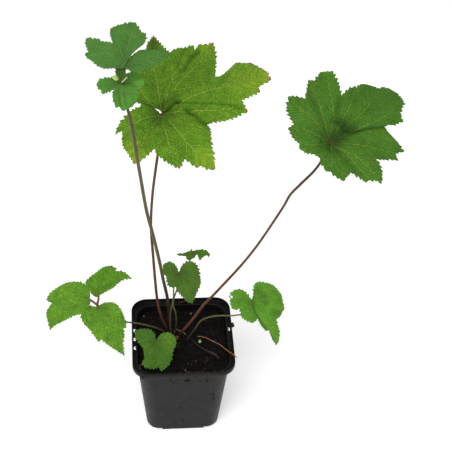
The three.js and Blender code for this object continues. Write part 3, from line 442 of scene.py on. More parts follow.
            (14.1, -3.4), (22.1, 0.8), (27.9, 4.8), (31.2, 8), (26, 10), (16.7, 10.4), (9.7, 10.6),
            (5.8, 8.6), (2.6, 6.6), (-1.1, 3.6),
        ],
        "ribs": [(30, 8), (14, 9)], "plain": [(14, 10.5, 14)],
    },
    "whorl_young_leaf": {
        "at": (-46.6, -39.8, 397), "normal": (0, -0.75, 0.66), "heading": (-0.3, 0.5, 0.8),
        "look": "deep", "joint": 0, "form": {"keel": 0.25},
        "edge": [
            (-1, -0.4), (-0.4, -1.8), (0.8, -3), (1.8, -4), (2.5, -5.1), (4, -5.5), (5.8, -4.9),
            (8.3, -4.2), (11.8, -3.4), (11.4, 0), (8.4, 1.2), (6.8, 1.6), (5.2, 1.1), (3, 0.7), (0.6, 0.8),
        ],
        "ribs": [(8.5, 0.5)],
    },
}
BLADE_DEFAULTS = {
    "size": "small", "joint": 1, "relief": 0.65, "brown": [], "pale": [], "plain": [],
    "laps": [], "creases": [], "holes": [],
}
BLADES = {name: {**BLADE_DEFAULTS, **blade} for name, blade in BLADES.items()}

# The stalks, as in the part. foot is where a stalk leaves the soil, via its route, thick its radii
# and carries what it ends under. swells lists heights, how much thicker it is there and their reach.
# colors lists a place along the stalk, from 0 to 1, and the colour there.
STALKS = {
    "stem_tall": {
        "foot": (-9.5, 16), "thick": (1.3, 1.4, 1.4, 1.35, 1.2, 0.75), "slot": "stem_purple_brown",
        "via": [
            (-11.5, 15, 110.5), (-13, 12.5, 129), (-16.7, 9, 155), (-19.9, 6.5, 179.5), (-25.9, 0, 220.5),
            (-29.8, -4, 244), (-35.2, -13.5, 295.5), (-40, -24, 345.5), (-45.3, -33, 389),
            (-43.9, -34.2, 403),
        ],
        "branches": [
            {"from": (-45.6, -33, 386.5), "via": [(-46.8, -34, 389.4)], "thick": 0.6,
             "carries": "whorl_low_left"},
            {"from": (-45.6, -33, 385), "thick": 0.6, "carries": "whorl_low_front"},
            {"from": (-45.6, -33, 386), "thick": 0.6, "carries": "whorl_low_right"},
            {"from": (-45.4, -33.2, 392), "thick": 0.5, "carries": "whorl_young_leaf"},
            {"from": (-45.5, -33.1, 389.5), "thick": 0.5, "carries": "flower_bud"},
            {"from": (-44.2, -34, 403), "thick": 0.5, "carries": "whorl_high_left"},
            {"from": (-43.9, -34, 404.5), "thick": 0.5, "carries": "whorl_high_right"},
            {"from": (-46.3, -39.2, 396), "via": [(-44.3, -40.7, 399.4), (-42.4, -41, 401.7)],
             "thick": (0.45, 0.5), "place": 1},
        ],
        "carries": "whorl_high_back", "swells": [(386.5, 0.25, 3)],
        "hairs": 1500, "colors": [
            (0, (0.016, 0.009, 0.007)), (0.14, (0.036, 0.017, 0.013)), (0.32, (0.09, 0.068, 0.023)),
            (0.6, (0.085, 0.066, 0.026)), (0.78, (0.075, 0.048, 0.028)), (0.9, (0.08, 0.036, 0.022)),
            (0.96, (0.06, 0.02, 0.014)), (1, (0.36, 0.43, 0.21)),
        ],
    },
    "petiole_large_left": {
        "foot": (-13.4, 16.4), "thick": (1.15, 1.2, 1.1, 1.15), "slot": "stalk_red_brown",
        "via": [
            (-17, 16, 96.5), (-20, 16, 110), (-22, 17, 124.5), (-23.5, 18, 146), (-25, 19, 174.5),
            (-26.5, 21, 207.5), (-25, 24, 238.5), (-21, 26.5, 274), (-18.2, 28.4, 296),
        ],
        "carries": "blade_large_left", "swells": [(317, 0.5, 4)], "hairs": 900, "colors": [
            (0, (0.03, 0.01, 0.006)), (0.06, (0.085, 0.025, 0.019)), (0.25, (0.085, 0.026, 0.011)),
            (0.6, (0.095, 0.034, 0.008)), (0.9, (0.08, 0.032, 0.01)), (1, (0.16, 0.1, 0.02)),
        ],
    },
    "petiole_large_right": {
        "foot": (-1.7, 8.8), "thick": (1.3, 1.15, 1.1, 1.0, 1.05, 1.05), "slot": "stalk_red_brown",
        "via": [
            (5.2, 8, 97.5), (12.4, 8, 110.5), (18.5, 7.5, 123.5), (27, 7.5, 136), (35, 7.5, 148.5),
            (50, 7, 173), (62.3, 6.5, 196.5), (72.2, 6.5, 218.5), (81.5, 6, 241), (85.5, 6, 252),
            (92.5, 6, 262.5), (102.5, 6, 276.5), (107.8, 6.4, 287),
        ],
        "carries": "blade_large_right", "swells": [(303, 0.45, 4)], "hairs": 900, "colors": [
            (0, (0.012, 0.007, 0.005)), (0.045, (0.02, 0.01, 0.006)), (0.07, (0.125, 0.036, 0.026)),
            (0.18, (0.12, 0.038, 0.017)), (0.3, (0.1, 0.032, 0.009)), (0.6, (0.08, 0.032, 0.009)),
            (0.8, (0.06, 0.027, 0.011)), (0.95, (0.055, 0.025, 0.012)), (1, (0.13, 0.09, 0.02)),
        ],
    },
    "petiole_middle": {
        "foot": (-5.8, 9.6), "thick": (0.75, 0.6),
        "via": [
            (-5.2, 8, 104), (-5.9, 6.5, 114.8), (-8.1, 4.5, 127.6), (-8.1, 1, 145.8), (-8, -0.5, 155.6),
            (-6.4, -1, 166.8),
        ],
        "carries": "blade_middle", "colors": [
            (0, (0.012, 0.01, 0.006)), (0.12, (0.03, 0.034, 0.014)), (0.35, (0.06, 0.07, 0.022)),
            (0.6, (0.12, 0.12, 0.03)), (1, (0.12, 0.16, 0.03)),
        ],
    },
    "petiole_young": {
        "foot": (-9.5, 8.8), "thick": (0.75, 0.6),
        "via": [
            (-10.5, 8.8, 94.7), (-10.5, 9, 104.6), (-9.8, 9.5, 116.7), (-7.3, 10.5, 130.7),
            (-4.8, 11.5, 139.9), (0.6, 12.5, 157), (5.6, 13, 169.7), (6.8, 13, 176),
        ],
        "branches": [{"from": (6.6, 13, 174.5), "thick": (0.8, 1.2), "carries": "young_left"}],
        "carries": "young_right", "swells": [(180, 0.7, 3)], "colors": [
            (0, (0.03, 0.014, 0.009)), (0.08, (0.09, 0.04, 0.02)), (0.2, (0.085, 0.06, 0.022)),
            (0.35, (0.06, 0.06, 0.022)), (0.7, (0.11, 0.11, 0.03)), (0.9, (0.09, 0.11, 0.018)),
            (1, (0.1, 0.14, 0.016)),
        ],
    },
    "petiole_left_low": {
        "foot": (-14.7, 11.2), "thick": (0.85, 0.65),
        "via": [
            (-19.7, 10.5, 90.3), (-28.7, 9, 96.5), (-40.2, 8, 102), (-50.2, 7, 105.4), (-61.1, 5.5, 113.3),
            (-68.6, 4.5, 122.4),
        ],
        "branches": [
            {"from": (-70, 4.4, 124.5), "via": [(-74, 4.2, 130.9), (-73, 5.4, 136), (-72.4, 7, 141)],
             "thick": 0.92},
            {"from": (-70, 4.4, 124.5), "via": [(-74, 4.2, 130.9)], "thick": 0.85,
             "carries": "leaflet_left_side"},
        ],
        "carries": "leaflet_left_front", "swells": [(125, 0.3, 3)], "colors": [
            (0, (0.02, 0.012, 0.008)), (0.12, (0.045, 0.034, 0.02)), (0.35, (0.1, 0.085, 0.034)),
            (0.7, (0.13, 0.11, 0.035)), (0.88, (0.17, 0.075, 0.027)), (1, (0.21, 0.077, 0.026)),
        ],
    },
    "petiole_right_low": {
        "foot": (4.4, 2.1), "thick": (0.75, 0.62),
        "via": [
            (7.5, 4.5, 88), (11.3, 6, 94), (17.1, 8, 103), (23.8, 8, 107), (33.3, 7.5, 109.3),
            (44.4, 6.5, 109.9), (55.2, 6, 113.2), (59.4, 6, 121),
        ],
        "carries": "blade_right_low", "swells": [(129, 0.3, 3)], "hairs": 420, "colors": [
            (0, (0.01, 0.008, 0.006)), (0.12, (0.014, 0.012, 0.008)), (0.22, (0.045, 0.042, 0.018)),
            (0.3, (0.09, 0.09, 0.035)), (0.7, (0.13, 0.13, 0.04)), (1, (0.15, 0.16, 0.04)),
        ],
    },
    "petiole_front": {
        "foot": (-8.6, 4.6), "thick": (0.75, 0.65),
        "via": [(-11, 2.8, 88), (-15.5, -3, 93)],
        "carries": "blade_front", "hairs": 140, "colors": [
            (0, (0.06, 0.025, 0.014)), (0.5, (0.1, 0.07, 0.02)), (1, (0.12, 0.12, 0.03)),
        ],
    },
}
STALK_DEFAULTS = {"slot": "stalk_olive", "hairs": 380, "swells": [], "branches": []}
STALKS = {name: {**STALK_DEFAULTS, **stalk} for name, stalk in STALKS.items()}
# Buds and tips of shoots. axis is the way that they point, and base the colour at their foot.
BUDS = {
    "flower_bud": {
        "at": (-47.6, -34.3, 396), "axis": (-0.9, -0.15, 0.4), "length": 6.2, "radius": 1.85,
        "hairs": 260, "paint": {
            "ground": (0.36, 0.5, 0.13), "pale": (0.5, 0.6, 0.22), "base": (0.22, 0.36, 0.08),
            "sheen": 0.2,
        },
    },
    "shoot_tip": {
        "at": (6.6, 12.7, 175.2), "axis": (0.06, 0.05, 1), "length": 12.8, "radius": 1.75,
        "hairs": 30, "paint": {
            "ground": (0.085, 0.13, 0.014), "pale": (0.12, 0.18, 0.02), "base": (0.08, 0.07, 0.012),
        },
    },
}
STALK_FOOT = 75.2
STALK_LEAD = 3.8
# The stalks end this far under the blades' upper faces, in their undersides, and in the buds.
SEAT_DROP = {"large": 1.25, "small": 0.9}
BUD_SEAT = -0.3
# Stalks and branches: the spacing of their points, their sides, how rough they are, where on the
# stalk's colours they lie, how far a branch flares at its foot, and its hairs.
STALK = {"step": 1.3, "sides": 14, "rough": 0.05, "grain": 0.12, "share": 0.97}
BRANCH = {"step": 0.9, "sides": 12, "flare": 1.4, "low": 0.9, "span": 0.06, "hairs": 60}
# Hairs: length and radius, how deep they are set, how far they lean, the spread of their lengths,
# how far their tips sink and the turns of their three corners.
HAIR = {
    "length": 0.75, "radius": 0.035, "sunk": 0.1, "spread": 0.5, "sizes": (0.5, 1.3), "droop": 0.15,
    "corners": (0, 2.1, 4.2),
}
# A bud's rings and sides, its ends, where it is widest, its folds, its middle and its hairs.
BUD = {
    "rings": 22, "sides": 30, "ends": (0.015, 0.985), "swell": 0.75, "fold": 0.07, "folds": 5,
    "twist": 1.6, "middle": 0.45, "hair": 0.55, "side": (0.2, 1, 0.1),
}
# Litter and strips: the spacing of their points, their sides, and how quickly their bumps change
# along and round them.
LITTER_SHAPE = {"step": 0.5, "sides": 12, "along": 0.25, "round": 1.4}
# A lump: how rough it is, the scale of its bumps, how flat it is and its highest place.
LUMP = {"rough": 0.45, "grain": 1.3, "squash": 0.8, "place": 0.9}

SOIL = {"level": 84, "lump": 0.6, "gap": 0.3, "grid": 0.9}
# The soil's waves: how quick they are along x and y, where they begin, and how high they are.
SOIL_WAVES = {"x": (0.31, 0.8), "y": (0.27, 0.3), "slant": (0.5, -0.35, 0.6)}
# Rounded clods, lumps and grains on the soil: height, scale and seed of their noise.
SOIL_NOISE = [(0.9, 0.22, 3.1), (0.6, 0.5, 8.4), (0.3, 1.3, 5.5)]
# Loose clods: how many, how clear of the pot's sides and corners, their sizes and their lift.
CLODS = {"count": 1500, "clear": 2.5, "side": 7, "corner": 9, "least": 0.25, "more": 1.1, "lift": 0.2}
POT = {
    "height": 94, "wall": 1, "rim_half": 45, "rim_corner": 14, "rim_height": 5,
    "body_half": 41, "body_corner": 15.5, "base_half": 33, "base_corner": 12,
    "floor": 1.2, "lift": 2.6, "foot_half": 19, "ledge_hole": 0.95, "ledge_hole_long": 2.7,
    "ledge_step": 10.3, "ledge_shift": -1.6,
    "drain": 3.2, "drain_reach": 24.2, "corner_steps": 14,
}
LEDGE = POT["height"] - POT["rim_height"]
LITTER = {
    "dead_root": {
        "thick": (0.32, 0.4), "rough": 0.3, "color": (0.55, 0.26, 0.12), "dark": (0.16, 0.055, 0.02),
        "route": [
            (13.8, 4.7, 85.9), (20, 2.8, 86.3), (26.1, -1.9, 86.9), (32.9, -8.4, 88.6), (38.5, -17.6, 91.4),
            (44.6, -27.1, 94.9), (46.4, -29.6, 94.9),
        ],
    },
    "dead_stem": {
        "thick": (0.35, 0.5, 0.7, 1.3, 1.1), "rough": 0.35, "color": (0.06, 0.026, 0.016),
        "dark": (0.014, 0.007, 0.005),
        "route": [
            (8.3, 1.6, 85.6), (13.4, -5.4, 85.6), (18.8, -10.9, 85.7), (24.5, -15.2, 86.1),
            (28.7, -18.4, 86.3), (31.2, -22.4, 86.2),
        ],
    },
    "twig": {
        "thick": (0.3, 0.26), "rough": 0.2, "color": (0.6, 0.34, 0.18), "dark": (0.25, 0.12, 0.05),
        "route": [(-5.2, 14.4, 85.6), (-1.6, 11.4, 86.2), (1.8, 8.4, 87), (3, 6, 87.6)],
    },
}
SEED = {
    "at": (15.8, -2.1, 86.2), "radius": 1.45, "squash": 0.85, "level": 4,
    "color": (0.38, 0.55, 0.14), "dark": (0.2, 0.33, 0.08), "scale": 500, "rough": 0.6,
}
# Small things on the soil: where, how large, how flat and which colour.
GRAINS = [
    ((9.4, 33.1), 1.3, 0.3, (0.12, 0.105, 0.09)), ((-33.8, 32), 0.7, 0.8, (0.36, 0.26, 0.05)),
    ((6.6, -27.3), 0.7, 0.5, (0.09, 0.085, 0.08)), ((4, -26), 0.6, 0.5, (0.07, 0.065, 0.06)),
    ((10.9, -22.8), 0.5, 0.6, (0.3, 0.09, 0.03)), ((-4.6, 3.4), 1.6, 0.7, (0.07, 0.035, 0.02)),
    ((-10.3, 8.3), 1.1, 0.8, (0.13, 0.045, 0.03)), ((-7.7, 6.4), 1.3, 0.7, (0.1, 0.035, 0.025)),
    ((-6.6, 10.8), 1.2, 0.8, (0.05, 0.025, 0.018)), ((1.4, -33.6), 1.3, 0.6, (0.07, 0.03, 0.02)),
    ((4.4, -35.4), 1.1, 0.6, (0.09, 0.035, 0.022)), ((22, 24), 0.6, 0.6, (0.06, 0.045, 0.03)),
    ((-24, -6), 0.5, 0.6, (0.08, 0.055, 0.035)), ((28, 8), 0.5, 0.6, (0.07, 0.05, 0.035)),
    ((-30, 14), 0.6, 0.6, (0.06, 0.04, 0.025)), ((18, -33), 0.6, 0.6, (0.06, 0.04, 0.025)),
    ((-12, 30), 0.5, 0.6, (0.07, 0.05, 0.035)), ((33, -14), 0.6, 0.6, (0.05, 0.035, 0.025)),
]
# Crumbs of brown bark and soil on the pot's front, its rim and its ledge: middle and radius.
CRUMBS = [
    ((9.7, -41.1, 83.6), 1.5), ((3.5, -40.6, 77.6), 1.3), ((1.8, -40.4, 76.4), 1), ((-12.1, -41.6, 80), 1),
    ((-6.7, -41.4, 76.8), 0.7), ((19.8, -41.4, 76.8), 0.6), ((-8.7, -40.2, 75), 0.6),
    ((13.9, -40.2, 76.2), 0.7), ((19.9, -40.2, 75.8), 0.8), ((26.2, -38.2, 53.7), 0.9),
    ((26.8, -37.6, 47.6), 0.8), ((27, -37.4, 45.6), 0.7), ((-2.1, -36.4, 35.1), 0.7),
    ((-0.4, -34.3, 12.7), 0.7), ((-36.9, -43.6, 88.6), 1.7), ((-34.6, -43.2, 88.3), 1),
    ((2.3, -42.6, 90.6), 1.2), ((5.2, -42.8, 90.6), 1), ((42.4, -0.6, 90), 1.8), ((42.2, -3.2, 90), 1.7),
    ((42.4, -11, 90), 1.8), ((42.2, -13.6, 90), 1.7), ((41.7, 8.6, 90), 0.8), ((-41.6, 10.2, 90), 0.7),
    ((-41.6, 0, 90), 0.7), ((-41.6, -10.2, 90), 0.7), ((-42.2, 2.4, 90.2), 0.9), ((-42.2, -8, 90.2), 0.8),
    ((45.9, 11, 91.6), 1.9), ((46, 12.5, 92.8), 1.2), ((-38.6, -34.6, 90.4), 1.3), ((-38, -31, 90.2), 1),
    ((-36.8, -39.6, 90.4), 1.2), ((10.7, -41.6, 90.4), 1.3), ((4, -41.9, 90.4), 1.4),
    ((7.5, -42.2, 90.4), 1), ((-4, -42.4, 90.4), 0.9), ((17, -42, 90.3), 0.9),
]
# Two strips: a flake of bark on the back ledge and a red-brown stub in front of the stalks.
STRIPS = [
    {"route": [(-2, 41.2, 91), (3.4, 42.6, 91.6), (8.5, 43, 91.2)], "thick": (0.4, 0.8, 0.4)},
    {"route": [(-3.4, -2.2, 85.6), (-3.8, -6, 86.2), (-3.4, -9.6, 85.8)], "thick": (0.7, 0.8, 0.5)},
]
STRIP_SIDES = 8
STRIP_PLACE = 0.9
# Specks on the pot's front: how many, how far to the side, how far down, how large, and how far
# from its rounded corners.
SPECKS = {"count": 60, "reach": 37, "down": 4, "more": 75, "bias": 1.7, "sizes": (0.12, 0.3), "corner": 0.7}
# Dust on the ledge: how many crumbs, how far along it, its width, their size, how they sit, and how
# small they are this near to a hole.
DUST = {
    "count": 340, "reach": 34, "across": (40.4, 43.6), "least": 0.2, "more": 0.9, "lift": 0.2,
    "hole_near": 4, "by_hole": 0.3,
}
# The ledge's sides by their outward direction. The front has three times as much dust.
LEDGE_SIDES = [(0, -1), (0, -1), (0, -1), (1, 0), (-1, 0), (0, 1)]
# Large crumbs on the ledge at the sides, behind this line, have the colour of wet soil.
WET_BEHIND = -15
# Fibres: how many, how far out, their turns, lengths, steps and bends, how they lie, the least steps
# that are kept, the spacing of their points, their radii and their sides.
FIBRES = {
    "count": 85, "reach": 36, "turn": 6.28, "length": (3, 11), "steps": 6, "bend": 0.4, "lift": 0.35,
    "float": 0.7, "least": 4, "step": 0.8, "radius": (0.1, 0.24), "sides": 5,
}
# Grains on the soil stand this share of their radius above it.
GRAIN_LIFT = 0.4
# The pot's outside from its base up: how much narrower or wider than the base, and the height.
POT_FOOT = [(-0.7, -0.7, 0), (-0.2, -0.2, 0.2), (0.07, 0, 0.8)]
# Rings up the body, and how many of their spacings there are up to the ledge.
POT_RINGS = 12
POT_TOP_SHARE = 12.2
# Under the rim: how much wider than the body, and how far below the ledge.
POT_NECK = [(0.25, 0.3), (0.8, 0)]
# The rim's section: how far in from its outside, and how far up from the ledge or from the top.
RIM_OUTSIDE = [(0.5, "ledge", 0), (0.1, "ledge", 0.15), (0, "ledge", 0.5), (0, "top", -0.5)]
RIM_LIP = [(0.12, "top", -0.15), (0.4, "top", 0), (0.6, "top", 0), (0.88, "top", -0.15)]
RIM_INSIDE = [(1, "top", -0.5), (1, "ledge", 1.4), (1.4, "ledge", 1)]
# How far the ledge's inner edge is rounded, how far blocks are cut past a face, and a hole's sides.
LEDGE_EDGE = 0.5
CUT_PAST = 1
HOLE_SIDES = 24
# A face of the pot is inside where it looks inwards by this share, above these heights in metres.
POT_INSIDE = {"inwards": 0.3, "rim": 0.002, "floor": 0.004, "level": 0.9}
POT_SHARP = 32

# A leaf's upper face: noise by its scale, detail and roughness, and spans from one range to another.
LEAF = {
    "rough": 0.6, "net": 430, "mottle": (110, 4, 0.65), "mottle_share": 0.6, "line": (0, 0.4, 1, 0),
    "breaks": ((420, 3), 0.35, 0.62, 0.2, 0.85), "ragged": (520, 3, 0.7), "rim_share": -0.3,
    "grain": (1500, 3, 0.7), "grain_share": 0.5, "ridges": (0, 0.35), "depth": 0.0007,
}
LEAF_SOCKETS = {
    "Specular_IOR_Level": 0.12, "Subsurface_Weight": 0.1,
    "Subsurface_Radius": (0.0006, 0.001, 0.0002), "Subsurface_Scale": 1.0,
}
# Its layers from the ground up: a tone of the look or a colour, what the layer follows, from where
# to where that runs, and how strong the layer is at both ends, as a number or as the look says.
LEAF_LAYERS = [
    ("light", (110, 4, 0.65), 0.35, 0.65, 0, 1), ("patch", (330, 4, 0.7), 0.52, 0.7, 0, "patches"),
    ("vein", "net", 0, 0.08, 0.35, 0), ("light", "net", 0.1, 0.4, 0, 0.3),
    ("dark", (480, 3, 0.7), 0.36, 0.6, 0.25, 0), ("patch", "paleness", 0.45, 1.1, 0, 0.75),
    # The dark tone beside the veins is painted shade in the hollows between them, and the heart's tone,
    # laid by the crease shade and by nearness to the joint, is painted shade in folds and in the funnel.
    ("dark", "vein", 0.3, 1.8, 0.55, 0), ("vein", "broken_line", 0, 1, 0, 1),
    ("vein", "rib", 0, 0.42, "rib", 0), ("heart_shade", "shade", 0, 1, 0, 1),
    ("heart_shade", "heart_shade", 0, 1, 0, 0.62), ((0.075, 0.03, 0.014), "joint", 0, 1, 0, 0.85),
    ((0.25, 0.24, 0.02), "browned", 0.55, 0.85, 0, 0.6), ((0.3, 0.11, 0.018), "browned", 0.9, 1.1, 0, 1),
]
# The other materials: roughness, gloss, a ground colour, layers as above, and the bump's source, its
# strength and its depth in metres. Noise may have how far it is drawn out upwards as its last number.
RECIPES = {
    "leaf_under": {
        "rough": 0.7, "gloss": 0.15, "ground": (0.075, 0.15, 0.03), "layers": [
            ((0.11, 0.2, 0.045), (80, 4), 0.35, 0.65, 0, 1),
            ((0.17, 0.27, 0.08), "vein", 0.05, 0.5, 0.6, 0),
            ((0.19, 0.27, 0.09), "rib", 0.1, 0.6, 0.7, 0),
        ],
        "net": (620, 0, 0.3, 1, 0), "bump": ((2600,), 0.3, 0.0004),
    },
    "stalk": {
        "rough": 0.45, "gloss": 0.22, "layers": [
            ((0.22, 0.16, 0.06), (1800, 3, 0.5, 0.08), 0.45, 0.75, 0, 0.25),
            ((0.02, 0.01, 0.008), (900, 2, 0.5, 0.08), 0.5, 0.7, 0, 0.4),
        ],
        "bump": ((1800, 3, 0.5, 0.08), 0.4, 0.0003),
    },
    "bud": {
        "rough": 0.65, "gloss": 0.15, "layers": [
            ("pale", (400, 3), 0.4, 0.65, 0, 1), ("base", "place", 0, 0.35, 0.5, 0),
        ],
        "bump": ((1800,), 0.3, 0.0003),
    },
    "soil": {
        "rough": 0.85, "gloss": 0.1, "ground": (0.0022, 0.0019, 0.0017), "layers": [
            ((0.0078, 0.0068, 0.0062), (260, 5, 0.7), 0.35, 0.7, 0, 1),
            ((0.035, 0.022, 0.015), "place", 0.78, 0.9, 0, 0.6),
            ((0.12, 0.09, 0.06), (2100, 2), 0.68, 0.74, 0, 0.6),
        ],
        "bump": ((1500, 5, 0.7), 0.8, 0.0008),
    },
    "grains": {
        "rough": 0.8, "gloss": 0.5, "layers": [((0.03, 0.02, 0.012), (1200, 3), 0.5, 0.7, 0, 0.5)],
        "bump": ((2200,), 0.5, 0.0004),
    },
    "crumbs": {
        "rough": 0.85, "gloss": 0.3, "ground": (0.012, 0.007, 0.005), "layers": [
            ((0.085, 0.035, 0.02), (900, 4, 0.6), 0.38, 0.66, 0, 1),
            ((0.006, 0.0055, 0.005), "place", 0.92, 0.98, 0, 1),
        ],
        "bump": ((900, 4, 0.6), 0.6, 0.0004),
    },
    "fibres": {
        "rough": 0.8, "gloss": 0.5, "layers": [], "bump": ((2500,), 0.3, 0.0002),
        "stops": [
            (0, (0.004, 0.003, 0.0025)), (0.8, (0.011, 0.007, 0.005)), (0.97, (0.045, 0.024, 0.014)),
        ],
    },
    "pot": {
        "rough": 0.42, "rough_by": ((120, 5, 0.7), 0.3, 0.7, 0.38, 0.55), "gloss": 0.16, "layers": [
            ("pale", (30, 3), 0.35, 0.65, 0, 1),
            ((0.03, 0.025, 0.021), (160, 6, 0.75), 0.56, 0.75, 0, "dust"),
            ((0.05, 0.05, 0.048), (420, 3, 0.5, 0.1), 0.62, 0.8, 0, 0.25),
        ],
        "bump": ((3200, 3), 0.12, 0.0002),
    },
}
POT_TONES = {
    "pot_plastic": {"ground": (0.0052, 0.0056, 0.0062), "pale": (0.0074, 0.0078, 0.0086), "dust": 0.22},
    "pot_inside": {"ground": (0.003, 0.003, 0.003), "pale": (0.006, 0.0057, 0.0055), "dust": 0.6},
}
# Mottled materials: the noise's detail and roughness, its span, the gloss and the bump's depth.
MOTTLED = {"detail": (4, 0.6), "span": (0.38, 0.66, 0, 1), "gloss": 0.3, "depth": 0.0004}
RHIZOME = {"light": (0.2, 0.11, 0.05), "dark": (0.05, 0.025, 0.012), "scale": 700, "rough": 0.85}
LITTER_PAINT = {"scale": 900, "rough": 0.8, "bump": 0.5}


def unit(v):
    """A vector's direction."""
    v = np.asarray(v, float)
    return v / np.linalg.norm(v)


def blade_axes(blade):
    """A blade's own axes in the plant: along, across and up."""
    up = unit(blade["normal"])
    heading = np.asarray(blade["heading"], float)
    along = unit(heading - up * (heading @ up))
    return along, np.cross(up, along), up


def height_of(x, y, cup=0, keel=0, droop=0, bend=0, wave=0, folds=5):
    """A blade's height above its own flat plane, as its form says."""
    out = np.hypot(x, y)
    return (
        cup * (1 - np.exp(-out / CUP_REACH))
        + keel * (np.hypot(y, KEEL_ROUND) - KEEL_ROUND)
        - droop * out**2
        - bend * np.maximum(x, 0) ** 2
        + wave * out**2 * np.cos(folds * np.arctan2(y, x))
    )


def lengths_along(line):
    """How far along a line each of its points lies."""
    return np.concatenate([[0], np.cumsum(np.linalg.norm(np.diff(line, axis=0), axis=1))])


def on_line(line, reach, places):
    """The points, or the one point, at given places along a line."""
    return np.stack([np.interp(places, reach, numbers) for numbers in line.T], -1)


def turn_at(before, at, after):
    """How far a path turns at a corner, in degrees."""
    a, b = at - before, after - at
    return abs(math.degrees(math.atan2(a[0] * b[1] - a[1] * b[0], a @ b)))


def toothed(corners, tooth, pitch, smooth, plain, draw):
    """A blade's edge: curves between its tips and dips, with small teeth that lean outwards."""
    points = [np.array(corner, float) for corner in corners]
    count = len(points)
    sharp = [
        i for i in range(count)
        if turn_at(points[i - 1], points[i], points[(i + 1) % count]) > SHARP
    ]
    outline = []
    for first, last in zip(sharp, [*sharp[1:], sharp[0] + count]):
        line = route_of([points[k % count] for k in range(first, last + 1)], EDGE_STEP)
        outline += teeth_along(line, tooth, pitch, smooth, plain, draw)
    return np.array(outline)


def teeth_along(line, tooth, pitch, smooth, plain, draw):
    """Teeth of many sizes along one stretch of a blade's edge."""
    reach = lengths_along(line)
    whole = reach[-1]
    begin = TEETH["begin"] * smooth
    outline, low = [], 0.0
    while low < whole - CLOSE:
        high = low + pitch * draw.uniform(*TEETH["pitches"])
        if whole - high < TEETH["last"] * pitch:
            high = whole
        start, end = on_line(line, reach, low), on_line(line, reach, high)
        middle = (start + end) / 2
        size = tooth * min(TEETH["most"], (high - low) / pitch) * draw.uniform(*TEETH["sizes"])
        for x, y, clear in plain:
            size *= min(1, (math.hypot(middle[0] - x, middle[1] - y) / clear) ** 3)
        size *= float(smooth_step((math.hypot(*middle) - begin) / begin))
        for share, rise in TOOTH_BACK if math.hypot(*end) < math.hypot(*start) else TOOTH_OUT:
            place = low + (high - low) * share
            ahead = on_line(line, reach, min(place + TEETH["ahead"], whole))
            ahead = ahead - on_line(line, reach, max(place - TEETH["ahead"], 0))
            out = np.array([ahead[1], -ahead[0]]) / np.linalg.norm(ahead)
            near_end = min(1, min(place, whole - place) / (TEETH["fade"] * pitch))
            outline.append(on_line(line, reach, place) + out * rise * size * near_end)
        low = high
    return outline


def inside(points, outline):
    """Which points an outline runs round counter-clockwise, also where it crosses itself."""
    ax, ay = outline[:, 0], outline[:, 1]
    bx, by = np.roll(ax, -1), np.roll(ay, -1)
    rise = np.where(by == ay, TINY, by - ay)
    way = np.where(by > ay, 1, -1)
    found = np.zeros(len(points), bool)
    for k in range(0, len(points), CHUNK):
        x, y = points[k:k + CHUNK, :1], points[k:k + CHUNK, 1:]
        spans = (ay > y) != (by > y)
        crossing = x < (bx - ax) * (y - ay) / rise + ax
        found[k:k + CHUNK] = (way * (spans & crossing)).sum(1) > 0
    return found


def distances(points, starts, ends, widths=None):
    """The distance from each point to the nearest stretch, less that stretch's half width."""
    best = np.empty(len(points))
    along = ends - starts
    length = np.maximum((along**2).sum(1), TINY)
    for k in range(0, len(points), CHUNK):
        p = points[k:k + CHUNK, None, :]
        share = np.clip(((p - starts) * along).sum(2) / length, 0, 1)
        gap = np.linalg.norm(p - starts - share[..., None] * along, axis=2)
        if widths is not None:
            gap = gap - widths[0] * (1 - share) - widths[1] * share
        best[k:k + CHUNK] = gap.min(1)
    return best


def to_edge(points, outline):
    """The distance from each point to a closed outline."""
    return distances(points, outline, np.roll(outline, -1, 0))


def staggered(outline, spacing):
    """Points in staggered rows inside an outline, clear of its edge."""
    low, high = outline.min(0), outline.max(0)
    rows = []
    rise = spacing * ROW_RISE
    for row in range(int((high[1] - low[1]) / rise) + 1):
        xs = np.arange(low[0] + (row % 2) * spacing / 2, high[0], spacing)
        rows.append(np.stack([xs, np.full(len(xs), low[1] + row * rise)], 1))
    points = np.concatenate(rows)
    points = points[inside(points, outline)]
    return points[to_edge(points, outline) > spacing * CLEAR["edge"]]


def vein_points(lines, outline, spacing):
    """Points along the veins, so that the triangles keep them sharp."""
    points = []
    for path, _, _, _ in lines:
        reach = lengths_along(path)
        points.append(on_line(path, reach, np.arange(spacing, reach[-1], spacing)))
    points = np.concatenate(points)
    cells = np.round(points / (spacing * CLEAR["same"])).astype(int)
    points = points[np.unique(cells, axis=0, return_index=True)[1]]
    points = points[inside(points, outline)]
    return points[to_edge(points, outline) > spacing * CLEAR["vein_edge"]]


def fill(outline, spacing, lines=()):
    """An outline's area as points and triangles, with the outline's own points in order."""
    inner = staggered(outline, spacing)
    if lines:
        starts, ends, _ = stretches(lines)
        inner = inner[distances(inner, starts, ends) > spacing * CLEAR["vein"]]
        inner = np.concatenate([inner, vein_points(lines, outline, spacing)])
    flat = np.concatenate([outline, inner])
    count = len(outline)
    edges = [(i, (i + 1) % count) for i in range(count)]
    found = delaunay_2d_cdt([Vector(p) for p in flat], edges, [], 1, CLOSE)
    flat = np.array([list(p) for p in found[0]])
    rim = {source: index for index, sources in enumerate(found[3]) for source in sources}
    a, b, c = (flat[[f[k] for f in found[2]]] for k in range(3))
    turn = (b[:, 0] - a[:, 0]) * (c[:, 1] - a[:, 1]) - (b[:, 1] - a[:, 1]) * (c[:, 0] - a[:, 0])
    kept = inside((a + b + c) / 3, outline)
    faces = [
        list(f) if t > 0 else list(f)[::-1] for f, t, keep in zip(found[2], turn, kept) if keep
    ]
    return flat, faces, [rim[i] for i in range(count)]


